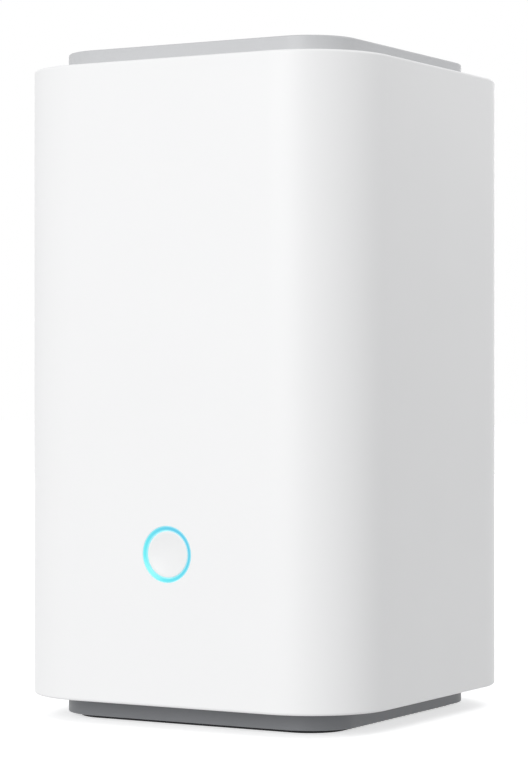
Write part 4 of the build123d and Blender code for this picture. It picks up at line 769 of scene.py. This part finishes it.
def lit_finish():
    """The lit ring: pale cyan at the lower left turning to a deeper blue at the upper right,
    and paler along its two edges."""
    material = bpy.data.materials.new("lit_ring")
    material.use_nodes = True
    tree = material.node_tree
    shader = tree.nodes["Principled BSDF"]
    position = put(tree, "ShaderNodeTexCoord").outputs["Object"]
    split = put(tree, "ShaderNodeSeparateXYZ", {0: position}).outputs
    height = maths(tree, "SUBTRACT", split[2], BUTTON_Z * MM)
    slope = maths(tree, "ADD", maths(tree, "MULTIPLY", split[0], 0.8),
                  maths(tree, "MULTIPLY", height, 0.6))
    across = ranged(tree, slope, 0.0, 1.0, GLOW_START * MM, GLOW_END * MM)
    glow = mixed(tree, across, PALE_CYAN, DEEP_BLUE)
    reach = put(tree, "ShaderNodeVectorMath", {
        0: put(tree, "ShaderNodeCombineXYZ", {0: split[0], 1: height}).outputs[0],
    }, operation="LENGTH").outputs["Value"]
    off_middle = maths(tree, "ABSOLUTE", maths(tree, "SUBTRACT", reach, GLOW_MIDDLE * MM))
    at_edge = ranged(tree, off_middle, 0.0, 0.6, PALER_FROM * MM, PALER_TO * MM)
    drift = noise(tree, position, 420.0, 1.0)
    tint = mixed(tree, drift, *CLEAR_TINTS)
    tree.links.new(tint, shader.inputs["Base Color"])
    tree.links.new(ranged(tree, drift, 0.16, 0.24), shader.inputs["Roughness"])
    tree.links.new(mixed(tree, at_edge, glow, EDGE_GLOW), shader.inputs["Emission Color"])
    shader.inputs["Emission Strength"].default_value = 0.9
    return material


materials = {slot: finish(slot) for slot in FINISHES}
materials["lit_ring"] = lit_finish()

# Dressing the frame
slot_of = {row["node"]: row["material_slot"] for row in frame["record"]["subparts"]}
body_of = {node: obj["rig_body"] for node, obj in frame["nodes"].items()}


def dress(piece, node):
    """Gives a piece the finish of the node that it stands for, and its body."""
    piece.data.materials.clear()
    piece.data.materials.append(materials[slot_of[node]])
    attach(piece, body_of[node])
    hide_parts(node)


for node, solid in frame["nodes"].items():
    solid.data.materials.clear()
    solid.data.materials.append(materials[slot_of[node]])

for made, node in (
    (outer_shell(), "outer_sleeve"),
    (cap(), "top_cap"),
    (base(), "base_tray"),
    (foot(), "rubber_foot"),
    (light_ring(), "light_ring"),
    (button(), "button_cap"),
):
    dress(shaded(made), node)

for name, node, width in (
    ("socket_panel", "port_panel", 0.12),
    ("network_skin", "lan_shield", 0.08),
    ("network_insert", "lan_jack", 0.08),
    ("power_socket", "power_jack", 0.12),
    ("lower_card_socket", "card_socket_lower", 0.06),
    ("upper_card_socket", "card_socket_upper", 0.06),
):
    dress(shaded(softened(name, node, width)), node)

# The surround is made of parts, each with the surround's finish, in place of its solid
for number in range(ROLL_PARTS):
    made, outward = roll_part(number)
    smooth(made, CRISP_ROLL_EDGE)
    made.data.materials.append(materials[slot_of["speaker_surround"]])
    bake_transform(made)
    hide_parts("speaker_surround")


# Floor, light and camera
FLOOR_HALF, FLOOR_GREY, FLOOR_LIFT = 4.0, 0.8, 0.6
AMBIENT, AMBIENT_COLOUR = 0.566, (0.985, 0.99, 1.0, 1.0)
WHITE = (1.0, 1.0, 1.0, 1.0)
AIM_HEIGHT = 0.08
CAMERA_PLACE, CAMERA_TURN = (0.3266, -0.5662, 0.0815), 30
CAMERA_LENS, CAMERA_SHIFT = 122.6, (-0.0038, -0.0018)


def seen_directly(tree):
    """1 for rays from the camera, from a reflection or through glass, else 0."""
    rays = put(tree, "ShaderNodeLightPath").outputs
    mirrored = maths(tree, "MAXIMUM", rays["Is Glossy Ray"], rays["Is Transmission Ray"])
    return maths(tree, "MAXIMUM", rays["Is Camera Ray"], mirrored)


def pale_floor():
    """A flat sheet under the object, white to the camera except where the object shades it.
    It is lit from below like a light table, and it isn't seen from underneath."""
    corners = [(across * FLOOR_HALF, along * FLOOR_HALF, 0)
               for across, along in ((-1, -1), (1, -1), (1, 1), (-1, 1))]
    mesh = bpy.data.meshes.new("floor")
    mesh.from_pydata(corners, [], [(0, 1, 2, 3)])
    floor = added("floor", mesh)
    material = bpy.data.materials.new("floor_paint")
    material.use_nodes = True
    tree = material.node_tree
    tree.nodes.remove(tree.nodes["Principled BSDF"])
    grey = (FLOOR_GREY, FLOOR_GREY, FLOOR_GREY, 1.0)
    paint = put(tree, "ShaderNodeBsdfDiffuse", {"Color": grey}).outputs[0]
    lift = put(tree, "ShaderNodeEmission", {"Color": WHITE, "Strength": FLOOR_LIFT}).outputs[0]
    bright = put(tree, "ShaderNodeAddShader", {0: paint, 1: lift}).outputs[0]
    shown = put(tree, "ShaderNodeMixShader", {0: seen_directly(tree), 1: paint, 2: bright})
    soft = put(tree, "ShaderNodeLightPath").outputs["Is Diffuse Ray"]
    under = put(tree, "ShaderNodeNewGeometry").outputs["Backfacing"]
    clear = put(tree, "ShaderNodeBsdfTransparent").outputs[0]
    sheet = put(tree, "ShaderNodeMixShader", {
        0: maths(tree, "MAXIMUM", soft, under), 1: shown.outputs[0], 2: clear,
    })
    tree.links.new(sheet.outputs[0], tree.nodes["Material Output"].inputs["Surface"])
    mesh.materials.append(material)


def studio_world():
    """Even light from all round, with white behind the object."""
    world = bpy.data.worlds.new("studio")
    bpy.context.scene.world = world
    world.use_nodes = True
    tree = world.node_tree
    ambient = put(tree, "ShaderNodeBackground", {"Color": AMBIENT_COLOUR, "Strength": AMBIENT})
    white = put(tree, "ShaderNodeBackground", {"Color": WHITE, "Strength": 1.0})
    shown = put(tree, "ShaderNodeMixShader", {
        0: seen_directly(tree), 1: ambient.outputs[0], 2: white.outputs[0],
    })
    tree.links.new(shown.outputs[0], tree.nodes["World Output"].inputs["Surface"])


def soft_lamp(name, azimuth, elevation, distance, size, watts):
    """A square lamp that faces the middle of the object. Azimuth 0 is in front of it and
    grows to its right."""
    across, up = math.radians(azimuth), math.radians(elevation)
    away = Vector((
        math.sin(across) * math.cos(up), -math.cos(across) * math.cos(up), math.sin(up),
    ))
    data = bpy.data.lights.new(name, "AREA")
    data.shape, data.size, data.energy = "SQUARE", size, watts
    lamp = added(name, data)
    lamp.location = away * distance + Vector((0, 0, AIM_HEIGHT))
    lamp.rotation_euler = away.to_track_quat("Z", "Y").to_euler()


pale_floor()
studio_world()
soft_lamp("key", azimuth=-5, elevation=20, distance=2.5, size=1.6, watts=29.6)
soft_lamp("high", azimuth=115, elevation=50, distance=0.3, size=0.15, watts=0.118)
soft_lamp("back", azimuth=207, elevation=15, distance=1.6, size=1.0, watts=6.0)

view = bpy.data.cameras.new("view")
view.sensor_width, view.lens = 36.0, CAMERA_LENS
view.shift_x, view.shift_y = CAMERA_SHIFT
view.clip_start, view.clip_end = 0.01, 20.0
camera = added("view", view)
camera.location = CAMERA_PLACE
camera.rotation_euler = (QUARTER_TURN, 0, math.radians(CAMERA_TURN))
bpy.context.scene.camera = camera

bpy.context.scene.view_settings.view_transform = "Standard"
